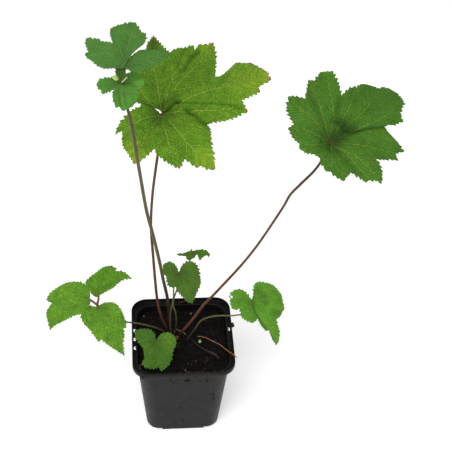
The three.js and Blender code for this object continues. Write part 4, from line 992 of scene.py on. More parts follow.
def border(faces):
    """The edges that only one triangle has."""
    edges = {(f[k], f[(k + 1) % 3]) for f in faces for k in range(3)}
    return [edge for edge in sorted(edges) if edge[::-1] not in edges]


def vein_lines(blade, outline):
    """The veins as polylines: each has its points, its half width at both ends and whether it is a
    rib."""
    lines = []
    ribs = [np.array(tip, float) for tip in blade["ribs"]]
    rib_width, side_width, spacing = VEINS[blade["size"]]
    shares = np.linspace(0, RIB["end"], RIB["points"])
    for tip in ribs:
        length = np.linalg.norm(tip)
        direction = tip / length
        normal = np.array([-direction[1], direction[0]])
        bow = RIB["bow"] * length * (1 if tip[1] > 0 else -1)
        waver = np.sin(RIB["waves"] * np.pi * shares + tip[0])
        bends = bow * np.sin(np.pi * shares) + RIB["waver"] * length * waver
        bends = bends * np.minimum(shares * RIB["straight"], 1)
        rib = np.outer(shares * length, direction) + np.outer(bends, normal)
        lines.append((rib, rib_width, RIB["tip"] * rib_width, True))
        others = [o / np.linalg.norm(o) for o in ribs if o is not tip]
        count = int(length / spacing)
        for k in range(count):
            for side in (1, -1):
                share = (k + SIDE_VEIN["shift"] + SIDE_VEIN["stagger"] * side) / count
                if SIDE_VEIN["low"] <= share <= SIDE_VEIN["high"]:
                    start = on_line(rib, shares, share)
                    lines += side_vein(start, direction, side, others, outline, side_width)
    return lines


def side_vein(start, direction, side, others, outline, width):
    """One vein that leaves a rib at a slant and bends forward, up to the edge or the next rib."""
    point, angle = start.copy(), side * SIDE_VEIN["angle"]
    path = [point]
    for _ in range(SIDE_VEIN["steps"]):
        angle *= SIDE_VEIN["bend"]
        c, s = math.cos(angle), math.sin(angle)
        step = np.array([direction[0] * c - direction[1] * s, direction[0] * s + direction[1] * c])
        point = point + step
        own = np.linalg.norm(point - direction * (point @ direction))
        near = [np.linalg.norm(point - o * max(point @ o, 0)) for o in others]
        if near and min(near) < own * SIDE_VEIN["crowd"]:
            break
        if not inside(point[None], outline)[0]:
            break
        path.append(point)
    long = len(path) > SIDE_VEIN["least"]
    return [(np.array(path), width, SIDE_VEIN["tip"] * width, False)] if long else []


def stretches(lines):
    """All the stretches of polylines: starts, ends and half widths at both."""
    parts = []
    for path, low, high, _ in lines:
        width = low + (high - low) * np.linspace(0, 1, len(path))
        parts.append((path[:-1], path[1:], width[:-1], width[1:]))
    starts, ends, first, last = (np.concatenate(part) for part in zip(*parts))
    return starts, ends, (first, last)


def crease_lift(flat, creases):
    """How far folds lift or sink each point, and the painted shade along them. A crease is a
    line, its height, its half width and the strength of its painted shade."""
    lift, shade = np.zeros(len(flat)), np.zeros(len(flat))
    for line, height, width, dark in creases:
        path = np.array(line, float)
        gap = distances(flat, path[:-1], path[1:])
        lift += height * np.exp(-((gap / width) ** 2))
        shade = np.maximum(shade, dark * np.exp(-((gap / (CREASE_DARK * width)) ** 2)))
    return lift * smooth_step(np.hypot(*flat.T) / CREASE_CLEAR), shade


def lap_shift(flat, laps):
    """Where two lobes meet, one slips under the other: each point's shift in the blade's plane and
    its rise or fall."""
    shift, rise = np.zeros_like(flat), np.zeros(len(flat))
    for lap in laps:
        start, end = np.array(lap["from"], float), np.array(lap["to"], float)
        along = unit(end - start)
        across = np.array([-along[1], along[0]])
        across *= np.sign(across[1]) * lap["under"]
        share = (flat - start) @ along / np.linalg.norm(end - start)
        beside = (flat - start) @ across
        fade = smooth_step(share / LAP["fade"]) * smooth_step((1 + LAP["fade"] - share) / LAP["fade"])
        near = np.exp(-((beside / LAP["reach"]) ** 2)) * fade
        under = beside > 0
        shift -= (under * near * lap["by"])[:, None] * across
        rise += near * lap["rise"] * np.where(under, -LAP["sink"], 1)
    return shift, rise


def noise_at(points, scale, seed):
    """Smooth noise from -1 to 1 at each point."""
    return np.array([noise.noise(Vector((p[0] * scale, p[1] * scale, seed))) for p in points])


def smooth_step(x):
    """A value from 0 to 1 that leaves both ends softly."""
    x = np.clip(x, 0, 1)
    return x * x * (3 - 2 * x)


def hump(x):
    """1 at 0, and softly down to 0 on both sides."""
    return np.exp(-(x**2))


def linked(name, data):
    """A new object in the scene."""
    obj = bpy.data.objects.new(name, data)
    bpy.context.scene.collection.objects.link(obj)
    return obj


def mesh_of(name, points, faces):
    """A mesh from points in millimetres."""
    mesh = bpy.data.meshes.new(name)
    mesh.from_pydata((np.asarray(points) * MM).tolist(), [], faces)
    return mesh


def on_root(obj, nodes):
    """Has a piece ride on the one body, and hides the nodes that it stands for."""
    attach(obj, "root")
    if nodes:
        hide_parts(*nodes)


def make_piece(name, points, faces, materials, nodes=(), values=None, kinds=None):
    """A piece in the part's frame, from points in millimetres."""
    mesh = mesh_of(name, points, faces)
    for label, numbers in (values or {}).items():
        attribute = mesh.attributes.new(label, "FLOAT", "POINT")
        attribute.data.foreach_set("value", np.asarray(numbers, np.float32))
    for paint in materials:
        mesh.materials.append(paint)
    if kinds is not None:
        mesh.polygons.foreach_set("material_index", np.asarray(kinds, np.int32))
    mesh.polygons.foreach_set("use_smooth", [True] * len(mesh.polygons))
    mesh.validate()
    on_root(linked(name, mesh), nodes)


def made_of(name, parts, paint, nodes=()):
    """One piece from several parts, in which each point knows its place."""
    points, faces, places = joined(parts)
    make_piece(name, points, faces, [paint], nodes, {"place": places})


def spots(flat, marks):
    """How near each point is to listed spots, from 0 to 1. A spot is its middle and its reach."""
    near = np.zeros(len(flat))
    for x, y, reach in marks:
        near = np.maximum(near, 1 - np.hypot(flat[:, 0] - x, flat[:, 1] - y) / reach)
    return near


def without_holes(flat, faces, holes):
    """The triangles that lie outside all holes."""
    for x, y, radius in holes:
        middles = flat[np.array(faces)].mean(1)
        near = np.hypot(middles[:, 0] - x, middles[:, 1] - y) < radius
        faces = [face for face, hit in zip(faces, near) if not hit]
    return faces


def blade_rise(flat, blade, gaps, fold, scale, draw):
    """How high each point of a blade stands: its form, its folds, its veins' relief and crumpling."""
    x, y = flat.T
    shift, lap_rise = lap_shift(flat, blade["laps"])
    fade = smooth_step(gaps["rim"] / (RELIEF["edge"] * scale))
    seed = draw.uniform(0, SEED_REACH)
    crumple = sum(noise_at(flat, grain, seed) * by for grain, by in CRUMPLE)
    relief = (
        blade["relief"] * (1 - hump(np.maximum(gaps["vein"], 0) / (RELIEF["vein"] * scale)))
        + RELIEF["rib"] * (1 - np.exp(-np.maximum(gaps["rib"], 0) / RELIEF["rib_reach"]))
        - RELIEF["rib"]
    )
    rise = height_of(x, y, **blade["form"]) + fold + lap_rise + scale * fade * relief
    near = smooth_step(np.hypot(x, y) / RELIEF["crumple_reach"])
    return shift, rise + crumple * scale * near


def blade_hairs(flat, points, rim, gaps, axes, size, draw):
    """Hairs along a blade's edge and on the veins of its underside."""
    along, across, up = axes
    outer = np.array([a for a, _ in rim])
    out = flat[outer] - flat.mean(0)
    out = out[:, :1] * along + out[:, 1:] * across
    out /= np.linalg.norm(out, axis=1)[:, None]
    veins = len(flat) + np.flatnonzero(gaps["vein"] < HAIRY_VEIN)
    roots = np.concatenate([points[outer], points[veins]])
    ways = np.concatenate([out, np.tile(-up, (len(veins), 1))])
    fuzz, spikes, _ = hairs(
        roots, ways, np.zeros(len(roots)), LEAF_HAIRS[size], draw, LEAF_HAIR_LENGTH,
    )
    return fuzz, spikes


def blade_piece(name, blade, paints):
    """One leaf: a toothed blade with two faces, veins in relief, folds, tones and hairs."""
    draw = random.Random(name)
    size = blade["size"]
    scale = RELIEF_SCALE[size]
    outline = toothed(blade["edge"], *TOOTH[size], SMOOTH_REACH[size], blade["plain"], draw)
    lines = vein_lines(blade, outline)
    flat, faces, _ = fill(outline, GRID[size], lines)
    faces = without_holes(flat, faces, blade["holes"])
    gaps = {
        "vein": distances(flat, *stretches(lines)),
        "rib": distances(flat, *stretches([line for line in lines if line[3]])),
        "rim": to_edge(flat, outline),
    }
    fold, shade = crease_lift(flat, blade["creases"])
    shift, rise = blade_rise(flat, blade, gaps, fold, scale, draw)
    along, across, up = blade_axes(blade)
    shown = flat + shift
    base = np.array(blade["at"]) + shown[:, :1] * along + shown[:, 1:] * across
    points = np.concatenate([base + (rise - drop)[:, None] * up for drop in (BLADE_TOP, BLADE_UNDER)])
    total = len(flat)
    rim = border(faces)
    skin = faces + [[total + f[0], total + f[2], total + f[1]] for f in faces]
    skin += [[total + a, total + b, b, a] for a, b in rim]
    fuzz, spikes = blade_hairs(flat, points, rim, gaps, (along, across, up), size, draw)
    skin += [[len(points) + i for i in face] for face in spikes]
    kinds = [0] * len(faces) + [1] * len(faces) + [0] * len(rim) + [1] * len(spikes)
    out = np.hypot(*flat.T)
    values = {
        "vein": gaps["vein"] / scale, "rib": gaps["rib"] / scale,
        # The heart round the joint gets painted shade, as the funnel there is shaded.
        "heart_shade": hump(out / (HEART_SHADE_REACH * scale)),
        "joint": blade["joint"] * hump(out / (JOINT_REACH * scale)),
        "rim": gaps["rim"], "shade": shade,
        "brown": spots(flat, blade["brown"]), "pale": spots(flat, blade["pale"]),
    }
    for label, numbers in values.items():
        far = FAR_FROM_VEINS if label in ("vein", "rib") else 0.0
        values[label] = np.concatenate([numbers, numbers, np.full(len(fuzz), far)])
    make_piece(
        name + "_fine", np.concatenate([points, fuzz]), skin,
        [paints[blade["look"]], paints["under"]], [name],
        values, kinds,
    )


def route_of(points, step):
    """Evenly spaced points on a smooth curve through points, as the part's own stalks run."""
    p = [np.array(v, float) for v in points]
    p = [2 * p[0] - p[1], *p, 2 * p[-1] - p[-2]]
    dense = []
    for k in range(1, len(p) - 2):
        a, b, c, d = p[k - 1:k + 3]
        gaps = [max(np.linalg.norm(v - u) ** 0.5, LEAST_GAP) for u, v in ((a, b), (b, c), (c, d))]
        into = ((b - a) / gaps[0] - (c - a) / (gaps[0] + gaps[1]) + (c - b) / gaps[1]) * gaps[1]
        away = ((c - b) / gaps[1] - (d - b) / (gaps[1] + gaps[2]) + (d - c) / gaps[2]) * gaps[1]
        for t in np.linspace(0, 1, CURVE_STEPS, endpoint=False):
            dense.append(
                b + into * t + (3 * (c - b) - 2 * into - away) * t**2
                + (2 * (b - c) + into + away) * t**3
            )
    dense = np.array([*dense, p[-2]])
    reach = lengths_along(dense)
    return on_line(dense, reach, np.linspace(0, reach[-1], max(3, int(reach[-1] / step) + 1)))


def taper(radii, shares):
    """A radius that changes evenly from each value of a list to the next."""
    return np.interp(shares, np.linspace(0, 1, len(radii)), radii)


def turns_of(sides):
    """The directions of evenly spaced points on a circle."""
    return np.arange(sides) / sides * 2 * math.pi


def ring_faces(rings, size):
    """The faces of a closed body from rings of points, with both ends capped."""
    faces = [
        [k * size + i, k * size + (i + 1) % size, (k + 1) * size + (i + 1) % size,
         (k + 1) * size + i]
        for k in range(rings - 1) for i in range(size)
    ]
    return [*faces, list(range(size))[::-1], [(rings - 1) * size + i for i in range(size)]]


def tube(line, radii, sides):
    """A tube round a line with a rounded tip: its points, faces and place along the line."""
    ahead = np.gradient(line, axis=0)
    ahead /= np.linalg.norm(ahead, axis=1)[:, None]
    side = unit(np.cross(ahead[0], TUBE_SIDE))
    line = np.concatenate([line, line[-1:] + ahead[-1] * np.mean(radii[-1]) * TIP["length"]])
    ahead = np.concatenate([ahead, ahead[-1:]])
    radii = np.concatenate([radii, radii[-1:] * TIP["width"]])
    points = []
    turns = turns_of(sides)
    for middle, way, radius in zip(line, ahead, radii):
        side = unit(side - way * (side @ way))
        other = np.cross(way, side)
        ring = np.outer(np.cos(turns) * radius, side) + np.outer(np.sin(turns) * radius, other)
        points.append(middle + ring)
    shares = np.repeat(np.linspace(0, 1, len(line)), sides)
    return np.concatenate(points), ring_faces(len(line), sides), shares


def away_from(line, points, sides):
    """The way from a line's own points out to each point of the tube round it."""
    return points - np.repeat(np.concatenate([line, line[-1:]]), sides, 0)


def hairs(points, normals, shares, count, draw, length=HAIR["length"]):
    """Fine hairs: thin three-sided spikes that stand out from given points."""
    found, faces, places = [], [], []
    for _ in range(count):
        k = draw.randrange(len(points))
        lean = [draw.uniform(-HAIR["spread"], HAIR["spread"]) for _ in range(3)]
        out = unit(normals[k] + np.array(lean))
        tall = length * draw.uniform(*HAIR["sizes"])
        side = unit(np.cross(out, (draw.uniform(-1, 1), draw.uniform(-1, 1), 0.5)))
        other = np.cross(out, side)
        start = len(found)
        for turn in HAIR["corners"]:
            ring = side * math.cos(turn) + other * math.sin(turn)
            found.append(points[k] - out * HAIR["sunk"] + ring * HAIR["radius"])
        found.append(points[k] + out * tall - np.array([0, 0, HAIR["droop"] * tall]))
        for a, b, c in ((0, 1, 3), (1, 2, 3), (2, 0, 3), (2, 1, 0)):
            faces.append([start + a, start + b, start + c])
        places += [shares[k]] * 4
    return np.array(found), faces, np.array(places)


def joined(parts):
    """Several sets of points, faces and places as one."""
    points, faces, places = [], [], []
    count = 0
    for some, theirs, shares in parts:
        points.append(some)
        faces += [[count + i for i in face] for face in theirs]
        places.append(shares)
        count += len(some)
    return np.concatenate(points), faces, np.concatenate(places)


def end_under(name):
    """A stalk's last two points, up to the underside of the blade or the bud that it carries."""
    if name in BLADES:
        blade = BLADES[name]
        up = blade_axes(blade)[2]
        seat = SEAT_DROP[blade["size"]]
        return [np.array(blade["at"]) - up * (seat + drop) for drop in (STALK_LEAD, 0)]
    bud = BUDS[name]
    return [np.array(bud["at"]) - unit(bud["axis"]) * back for back in (STALK_LEAD / 2, BUD_SEAT)]


def branch_parts(branch, draw):
    """A branch and its hairs."""
    ends = end_under(branch["carries"]) if "carries" in branch else []
    path = route_of([branch["from"], *branch.get("via", []), *ends], BRANCH["step"])
    thick = branch["thick"]
    low, high = thick if isinstance(thick, tuple) else (thick * BRANCH["flare"], thick)
    sides = BRANCH["sides"]
    points, faces, _ = tube(path, np.linspace(low, high, len(path)), sides)
    places = BRANCH["low"] + BRANCH["span"] * np.repeat(np.linspace(0, 1, len(path) + 1), sides)
    if "place" in branch:
        places = np.full(len(places), branch["place"])
    fuzz = hairs(points, away_from(path, points, sides), places, BRANCH["hairs"], draw)
    return [(points, faces, places), fuzz]


def stalk_piece(name, stalk):
    """A stalk with its branches, its swellings and its hairs."""
    draw = random.Random(name)
    x, y = stalk["foot"]
    start = [(x, y, STALK_FOOT), (x, y, SOIL["level"])]
    line = route_of([*start, *stalk["via"], *end_under(stalk["carries"])], STALK["step"])
    radii = taper(stalk["thick"], np.linspace(0, 1, len(line)))
    for at, by, reach in stalk["swells"]:
        radii = radii + by * hump((line[:, 2] - at) / reach)
    radii = radii * (1 + STALK["rough"] * noise_at(line[:, 1:], STALK["grain"], len(line)))
    points, faces, places = tube(line, radii, STALK["sides"])
    places = places * STALK["share"]
    parts = [(points, faces, places)]
    for branch in stalk["branches"]:
        parts += branch_parts(branch, draw)
    normals = away_from(line, points, STALK["sides"])
    parts.append(hairs(points, normals, places, stalk["hairs"], draw))
    paint = material("stalk_" + name, {**RECIPES["stalk"], "stops": stalk["colors"]})
    made_of(name + "_fine", parts, paint, [name])


def bud_piece(name, bud):
    """A bud with shallow folds between its scales and soft hairs."""
    draw = random.Random(name)
    up = unit(bud["axis"])
    side = unit(np.cross(up, BUD["side"]))
    other = np.cross(up, side)
    rings, sides = BUD["rings"], BUD["sides"]
    turns = turns_of(sides)
    points = []
    for share in np.linspace(*BUD["ends"], rings):
        swell = bud["radius"] * math.sin(math.pi * share ** BUD["swell"])
        fold = 1 + BUD["fold"] * np.cos(BUD["folds"] * turns + BUD["twist"] * share)
        ring = np.outer(np.cos(turns) * fold, side) + np.outer(np.sin(turns) * fold, other)
        points.append(np.array(bud["at"]) + up * bud["length"] * share + ring * swell)
    points = np.concatenate(points)
    middle = np.array(bud["at"]) + up * bud["length"] * BUD["middle"]
    shares = np.repeat(np.linspace(0, 1, rings), sides)
    fuzz = hairs(points, points - middle, shares, bud["hairs"], draw, BUD["hair"])
    paint = material(name, {**RECIPES["bud"], **bud["paint"]})
    made_of(name + "_fine", [(points, ring_faces(rings, sides), shares), fuzz], paint, [name])


def litter_piece(name, litter):
    """A dead stalk, root or twig with an uneven skin."""
    line = route_of(litter["route"], LITTER_SHAPE["step"])
    sides = LITTER_SHAPE["sides"]
    radii = taper(litter["thick"], np.linspace(0, 1, len(line)))[:, None] * np.ones(sides)
    along, round_it = LITTER_SHAPE["along"], LITTER_SHAPE["round"]
    bumps = np.array([
        noise.noise(Vector((k * along, round_it * math.cos(t), round_it * math.sin(t))))
        for k in range(len(line)) for t in turns_of(sides)
    ]).reshape(radii.shape)
    part = tube(line, radii * (1 + litter["rough"] * bumps), sides)
    paint = mottled(name, litter["color"], litter["dark"], **LITTER_PAINT)
    made_of(name + "_fine", [part], paint, [name])


def seed_piece():
    """The pale green seed."""
    draw = random.Random("seed")
    points, faces, _ = lump(SEED["at"], SEED["radius"], draw, SEED["squash"], SEED["level"])
    paint = mottled("seed", SEED["color"], SEED["dark"], SEED["scale"], SEED["rough"])
    make_piece("seed_fine", points, faces, [paint], ["seed"])


def lump(middle, radius, draw, squash=LUMP["squash"], level=1):
    """A rough pebble-like lump."""
    body = bmesh.new()
    bmesh.ops.create_icosphere(body, subdivisions=level, radius=1)
    shift = Vector([draw.uniform(0, SEED_REACH) for _ in range(3)])
    points = []
    for vertex in body.verts:
        rise = 1 + LUMP["rough"] * noise.noise(vertex.co * LUMP["grain"] + shift)
        spot = vertex.co * radius * rise
        points.append((middle[0] + spot.x, middle[1] + spot.y, middle[2] + spot.z * squash))
    body.verts.index_update()
    faces = [[v.index for v in face.verts] for face in body.faces]
    body.free()
    return np.array(points), faces, np.full(len(points), LUMP["place"] * draw.random())


def rounded_square(half, corner, z, steps):
    """A square ring with rounded corners at height z."""
    points = []
    reach = (half - corner) * math.sqrt(2)
    for side in range(4):
        middle = math.pi / 4 + side * math.pi / 2
        for step in range(steps + 1):
            turn = middle - math.pi / 4 + step / steps * math.pi / 2
            points.append((
                reach * math.cos(middle) + corner * math.cos(turn),
                reach * math.sin(middle) + corner * math.sin(turn), z,
            ))
    return np.array(points)


def inside_at(z):
    """The inside of the pot at height z: half its width and the radius of its corners."""
    share = z / LEDGE
    half = POT["base_half"] + (POT["body_half"] - POT["base_half"]) * share
    corner = POT["base_corner"] + (POT["body_corner"] - POT["base_corner"]) * share
    return half - POT["wall"], corner - POT["wall"]


def soil_top(x, y):
    """The level of the soil's top, with its clods."""
    (along, from_x), (across, from_y) = SOIL_WAVES["x"], SOIL_WAVES["y"]
    quick, slant, share = SOIL_WAVES["slant"]
    broad = np.sin(along * x + from_x) * np.cos(across * y + from_y)
    broad = broad + share * np.sin(quick * y + slant * x)
    places = np.stack([x, y], -1).reshape(-1, 2)
    clods, lumps, grains = (noise_at(places, scale, seed) for _, scale, seed in SOIL_NOISE)
    high = [height for height, _, _ in SOIL_NOISE]
    rough = high[0] * np.abs(clods) + high[1] * lumps + high[2] * grains
    return SOIL["level"] + SOIL["lump"] * broad + rough.reshape(np.shape(x))


def soil_at(x, y):
    """The level of the soil's top at one place."""
    return float(soil_top(np.array([x]), np.array([y]))[0])


def soil_block():
    """The block of soil, from the pot's floor up to its uneven top."""
    half, corner = inside_at(SOIL["level"])
    top = rounded_square(half - SOIL["gap"], corner, 0, POT["corner_steps"])[:, :2]
    outline = []
    for a, b in zip(top, np.roll(top, -1, 0)):
        pieces = max(1, round(np.linalg.norm(b - a) / SOIL["grid"]))
        outline += [a + (b - a) * k / pieces for k in range(pieces)]
    outline = np.array(outline)
    flat, faces, rim = fill(outline, SOIL["grid"])
    base = POT["lift"] + POT["floor"] + SOIL["gap"]
    scale = (inside_at(base)[0] - SOIL["gap"]) / (half - SOIL["gap"])
    points = np.concatenate([
        np.column_stack([flat, soil_top(flat[:, 0], flat[:, 1])]),
        np.column_stack([outline * scale, np.full(len(outline), base)]),
    ])
    count = len(flat)
    for i, (a, b) in enumerate(zip(rim, rim[1:] + rim[:1])):
        faces.append([count + i, count + (i + 1) % len(rim), b, a])
    faces.append([count + i for i in range(len(rim))][::-1])
    return points, faces, np.zeros(len(points))


def soil_piece(paint):
    """The soil with loose clods on it."""
    draw = random.Random("soil")
    parts = [soil_block()]
    reach = inside_at(SOIL["level"])[0] - CLODS["clear"]
    for _ in range(CLODS["count"]):
        x, y = draw.uniform(-reach, reach), draw.uniform(-reach, reach)
        near_side = max(abs(x), abs(y)) > reach - CLODS["side"]
        if near_side and abs(x) + abs(y) > 2 * reach - CLODS["corner"]:
            continue
        size = CLODS["least"] + CLODS["more"] * draw.random() ** 3
        parts.append(lump((x, y, soil_at(x, y) + size * CLODS["lift"]), size, draw))
    made_of("soil_fine", parts, paint, ["soil"])


def grain_piece():
    """Small pale and brown things on the soil, each with its own colour."""
    draw = random.Random("grains")
    parts, stops = [], []
    for k, ((x, y), radius, squash, color) in enumerate(GRAINS):
        place = k / len(GRAINS)
        z = soil_at(x, y) + GRAIN_LIFT * radius
        points, faces, _ = lump((x, y, z), radius, draw, squash, 2)
        parts.append((points, faces, np.full(len(points), place)))
        stops.append((place, color))
    made_of("soil_grains", parts, material("grains", {**RECIPES["grains"], "stops": stops}))


def front_specks(draw):
    """Small specks of soil on the pot's front."""
    parts = []
    for _ in range(SPECKS["count"]):
        x = draw.uniform(-SPECKS["reach"], SPECKS["reach"])
        z = LEDGE - (SPECKS["down"] + SPECKS["more"] * draw.random() ** SPECKS["bias"])
        half = inside_at(z)[0] + POT["wall"]
        if abs(x) < half - POT["base_corner"] * SPECKS["corner"]:
            parts.append(lump((x, -half, z), draw.uniform(*SPECKS["sizes"]), draw))
    return parts


def ledge_dust(draw):
    """Crumbs all along the ledge under the rim, small ones beside its holes."""
    parts = []
    for _ in range(DUST["count"]):
        along = draw.uniform(-DUST["reach"], DUST["reach"])
        across = draw.uniform(*DUST["across"])
        side = draw.choice(LEDGE_SIDES)
        x, y = (along, side[1] * across) if side[1] else (side[0] * across, along)
        radius = DUST["least"] + DUST["more"] * draw.random() ** 2
        hole_gap = min(abs(along - k * POT["ledge_step"]) for k in (-1, 0, 1))
        if side[0] and hole_gap < DUST["hole_near"]:
            radius *= DUST["by_hole"]
        z = LEDGE + POT["wall"] + DUST["lift"] * radius
        points, faces, _ = lump((x, y, z), radius, draw)
        parts.append((points, faces, np.full(len(points), float(side != (0, -1)))))
    return parts


def crumb_piece():
    """Crumbs of bark and soil that cling to the pot, and two strips of bark."""
    draw = random.Random("crumbs")
    parts = []
    for middle, radius in CRUMBS:
        points, faces, places = lump(middle, radius, draw, level=2)
        wet = POT["body_half"] < abs(middle[0]) < POT["rim_half"] and middle[1] > WET_BEHIND
        parts.append((points, faces, np.maximum(places, float(wet))))
    for strip in STRIPS:
        line = route_of(strip["route"], LITTER_SHAPE["step"])
        radii = taper(strip["thick"], np.linspace(0, 1, len(line)))
        points, faces, _ = tube(line, radii, STRIP_SIDES)
        parts.append((points, faces, np.full(len(points), STRIP_PLACE)))
    parts += front_specks(draw)
    parts += ledge_dust(draw)
    made_of("soil_crumbs", parts, material("crumbs", RECIPES["crumbs"]))


def fibre_piece():
    """Fine dead fibres and rootlets that lie on the soil."""
    draw = random.Random("fibres")
    parts = []
    reach, steps, bend = FIBRES["reach"], FIBRES["steps"], FIBRES["bend"]
    for _ in range(FIBRES["count"]):
        x, y = draw.uniform(-reach, reach), draw.uniform(-reach, reach)
        turn, length = draw.uniform(0, FIBRES["turn"]), draw.uniform(*FIBRES["length"])
        path = []
        for _ in range(steps):
            x += math.cos(turn) * length / steps
            y += math.sin(turn) * length / steps
            turn += draw.uniform(-bend, bend)
            if max(abs(x), abs(y)) > reach:
                break
            path.append((x, y, soil_at(x, y) + FIBRES["lift"] + draw.uniform(0, FIBRES["float"])))
        if len(path) < FIBRES["least"]:
            continue
        line = route_of(path, FIBRES["step"])
        radii = np.full(len(line), draw.uniform(*FIBRES["radius"]))
        points, faces, _ = tube(line, radii, FIBRES["sides"])
        parts.append((points, faces, np.full(len(points), draw.random())))
    made_of("soil_fibres", parts, material("fibres", RECIPES["fibres"]))


def prism(outline, low, high):
    """An upright block on an outline that runs counter-clockwise."""
    outline = np.asarray(outline, float)
    size = len(outline)
    points = [np.column_stack([outline, np.full(size, z)]) for z in (low, high)]
    return np.concatenate(points), ring_faces(2, size), np.zeros(2 * size)


def round_outline(x, y, radius):
    """A circle's outline."""
    turns = turns_of(HOLE_SIDES)
    return np.column_stack([x + radius * np.cos(turns), y + radius * np.sin(turns)])


def cut(obj, parts):
    """Cuts blocks out of a mesh object."""
    points, faces, _ = joined(parts)
    cutter = linked("cutter", mesh_of("cutter", points, faces))
    step = obj.modifiers.new("cut", "BOOLEAN")
    step.operation = "DIFFERENCE"
    step.solver = "EXACT"
    step.object = cutter
    done = bpy.data.meshes.new_from_object(obj.evaluated_get(bpy.context.evaluated_depsgraph_get()))
    obj.modifiers.clear()
    obj.data = done
    bpy.data.objects.remove(cutter)


def pot_rings():
    """The pot's section from the middle of its base out, up, over the lip and down inside."""
    half, corner = POT["base_half"], POT["base_corner"]
    rings = [(half + wider, corner + rounder, z) for wider, rounder, z in POT_FOOT]
    for k in range(1, POT_RINGS + 1):
        share = k / POT_TOP_SHARE
        rings.append((
            half + (POT["body_half"] - half) * share,
            corner + (POT["body_corner"] - corner) * share, LEDGE * share,
        ))
    rings += [(POT["body_half"] + wider, POT["body_corner"], LEDGE - down) for wider, down in POT_NECK]
    for inset, level, above in RIM_OUTSIDE + RIM_LIP + RIM_INSIDE:
        z = (POT["height"] if level == "top" else LEDGE) + above
        rings.append((POT["rim_half"] - inset, POT["rim_corner"] - inset, z))
    ledge_top = LEDGE + POT["wall"]
    floor_top = POT["lift"] + POT["floor"]
    top_half, top_corner = inside_at(ledge_top)
    rings.append((top_half + LEDGE_EDGE, top_corner + LEDGE_EDGE, ledge_top))
    rings.append((top_half, top_corner, ledge_top - LEDGE_EDGE))
    rings.append((*inside_at(floor_top), floor_top))
    return rings


def floor_blocks():
    """What is cut from the pot's floor: the cross inside it and the four corners under it."""
    top, low = POT["lift"] + POT["floor"], POT["foot_half"]
    inner, long = low - POT["wall"], inside_at(top)[0]
    cross, arm = [], [(long, -inner), (long, inner), (inner, inner)]
    for _ in range(4):
        cross += arm
        arm = [(-y, x) for x, y in arm]
    blocks = [prism(cross, POT["floor"], top + CUT_PAST)]
    far = POT["base_half"] + CUT_PAST
    for x, y in ((1, 1), (-1, 1), (-1, -1), (1, -1)):
        a, b = sorted((low * x, far * x)), sorted((low * y, far * y))
        corner = [(a[0], b[0]), (a[1], b[0]), (a[1], b[1]), (a[0], b[1])]
        blocks.append(prism(corner, -CUT_PAST, POT["lift"]))
    return blocks


def hole_blocks():
    """The drain holes in the raised corners and the long holes in the ledge."""
    top = POT["lift"] + POT["floor"]
    blocks = []
    for x in (-1, 1):
        for y in (-1, 1):
            spot = round_outline(POT["drain_reach"] * x, POT["drain_reach"] * y, POT["drain"])
            blocks.append(prism(spot, POT["lift"] - CUT_PAST, top + CUT_PAST))
        for step in (-1, 0, 1):
            middle = (POT["rim_half"] + POT["body_half"] - POT["wall"]) / 2 * x
            spot = round_outline(middle, 0, POT["ledge_hole"])
            spot[:, 1] += np.sign(spot[:, 1]) * POT["ledge_hole_long"] / 2
            spot[:, 1] += step * POT["ledge_step"] + (x > 0) * POT["ledge_shift"]
            blocks.append(prism(spot, LEDGE - CUT_PAST, LEDGE + 2 * CUT_PAST))
    return blocks


def pot_piece():
    """The pot: one shell with its floor, its holes, and a duller finish inside."""
    rings, steps = pot_rings(), POT["corner_steps"]
    points = np.concatenate([rounded_square(*ring, steps) for ring in rings])
    faces = ring_faces(len(rings), 4 * (steps + 1))
    pot = linked("pot_fine", mesh_of("pot_fine", points, faces))
    cut(pot, floor_blocks())
    cut(pot, hole_blocks())
    pot.data.materials.clear()
    for name, tones in POT_TONES.items():
        pot.data.materials.append(material(name, {**RECIPES["pot"], **tones}))
    for face in pot.data.polygons:
        x, y, z = face.center
        outward = face.normal.x * x + face.normal.y * y
        inward = outward < -POT_INSIDE["inwards"] * math.hypot(x, y)
        if z > LEDGE * MM + POT_INSIDE["rim"]:
            face.material_index = int(outward > 0)
        else:
            level = face.normal.z > POT_INSIDE["level"]
            face.material_index = int(z > POT_INSIDE["floor"] and (inward or level))
    pot.data.polygons.foreach_set("use_smooth", [True] * len(pot.data.polygons))
    pot.data.set_sharp_from_angle(angle=math.radians(POT_SHARP))
    on_root(pot, ["pot"])


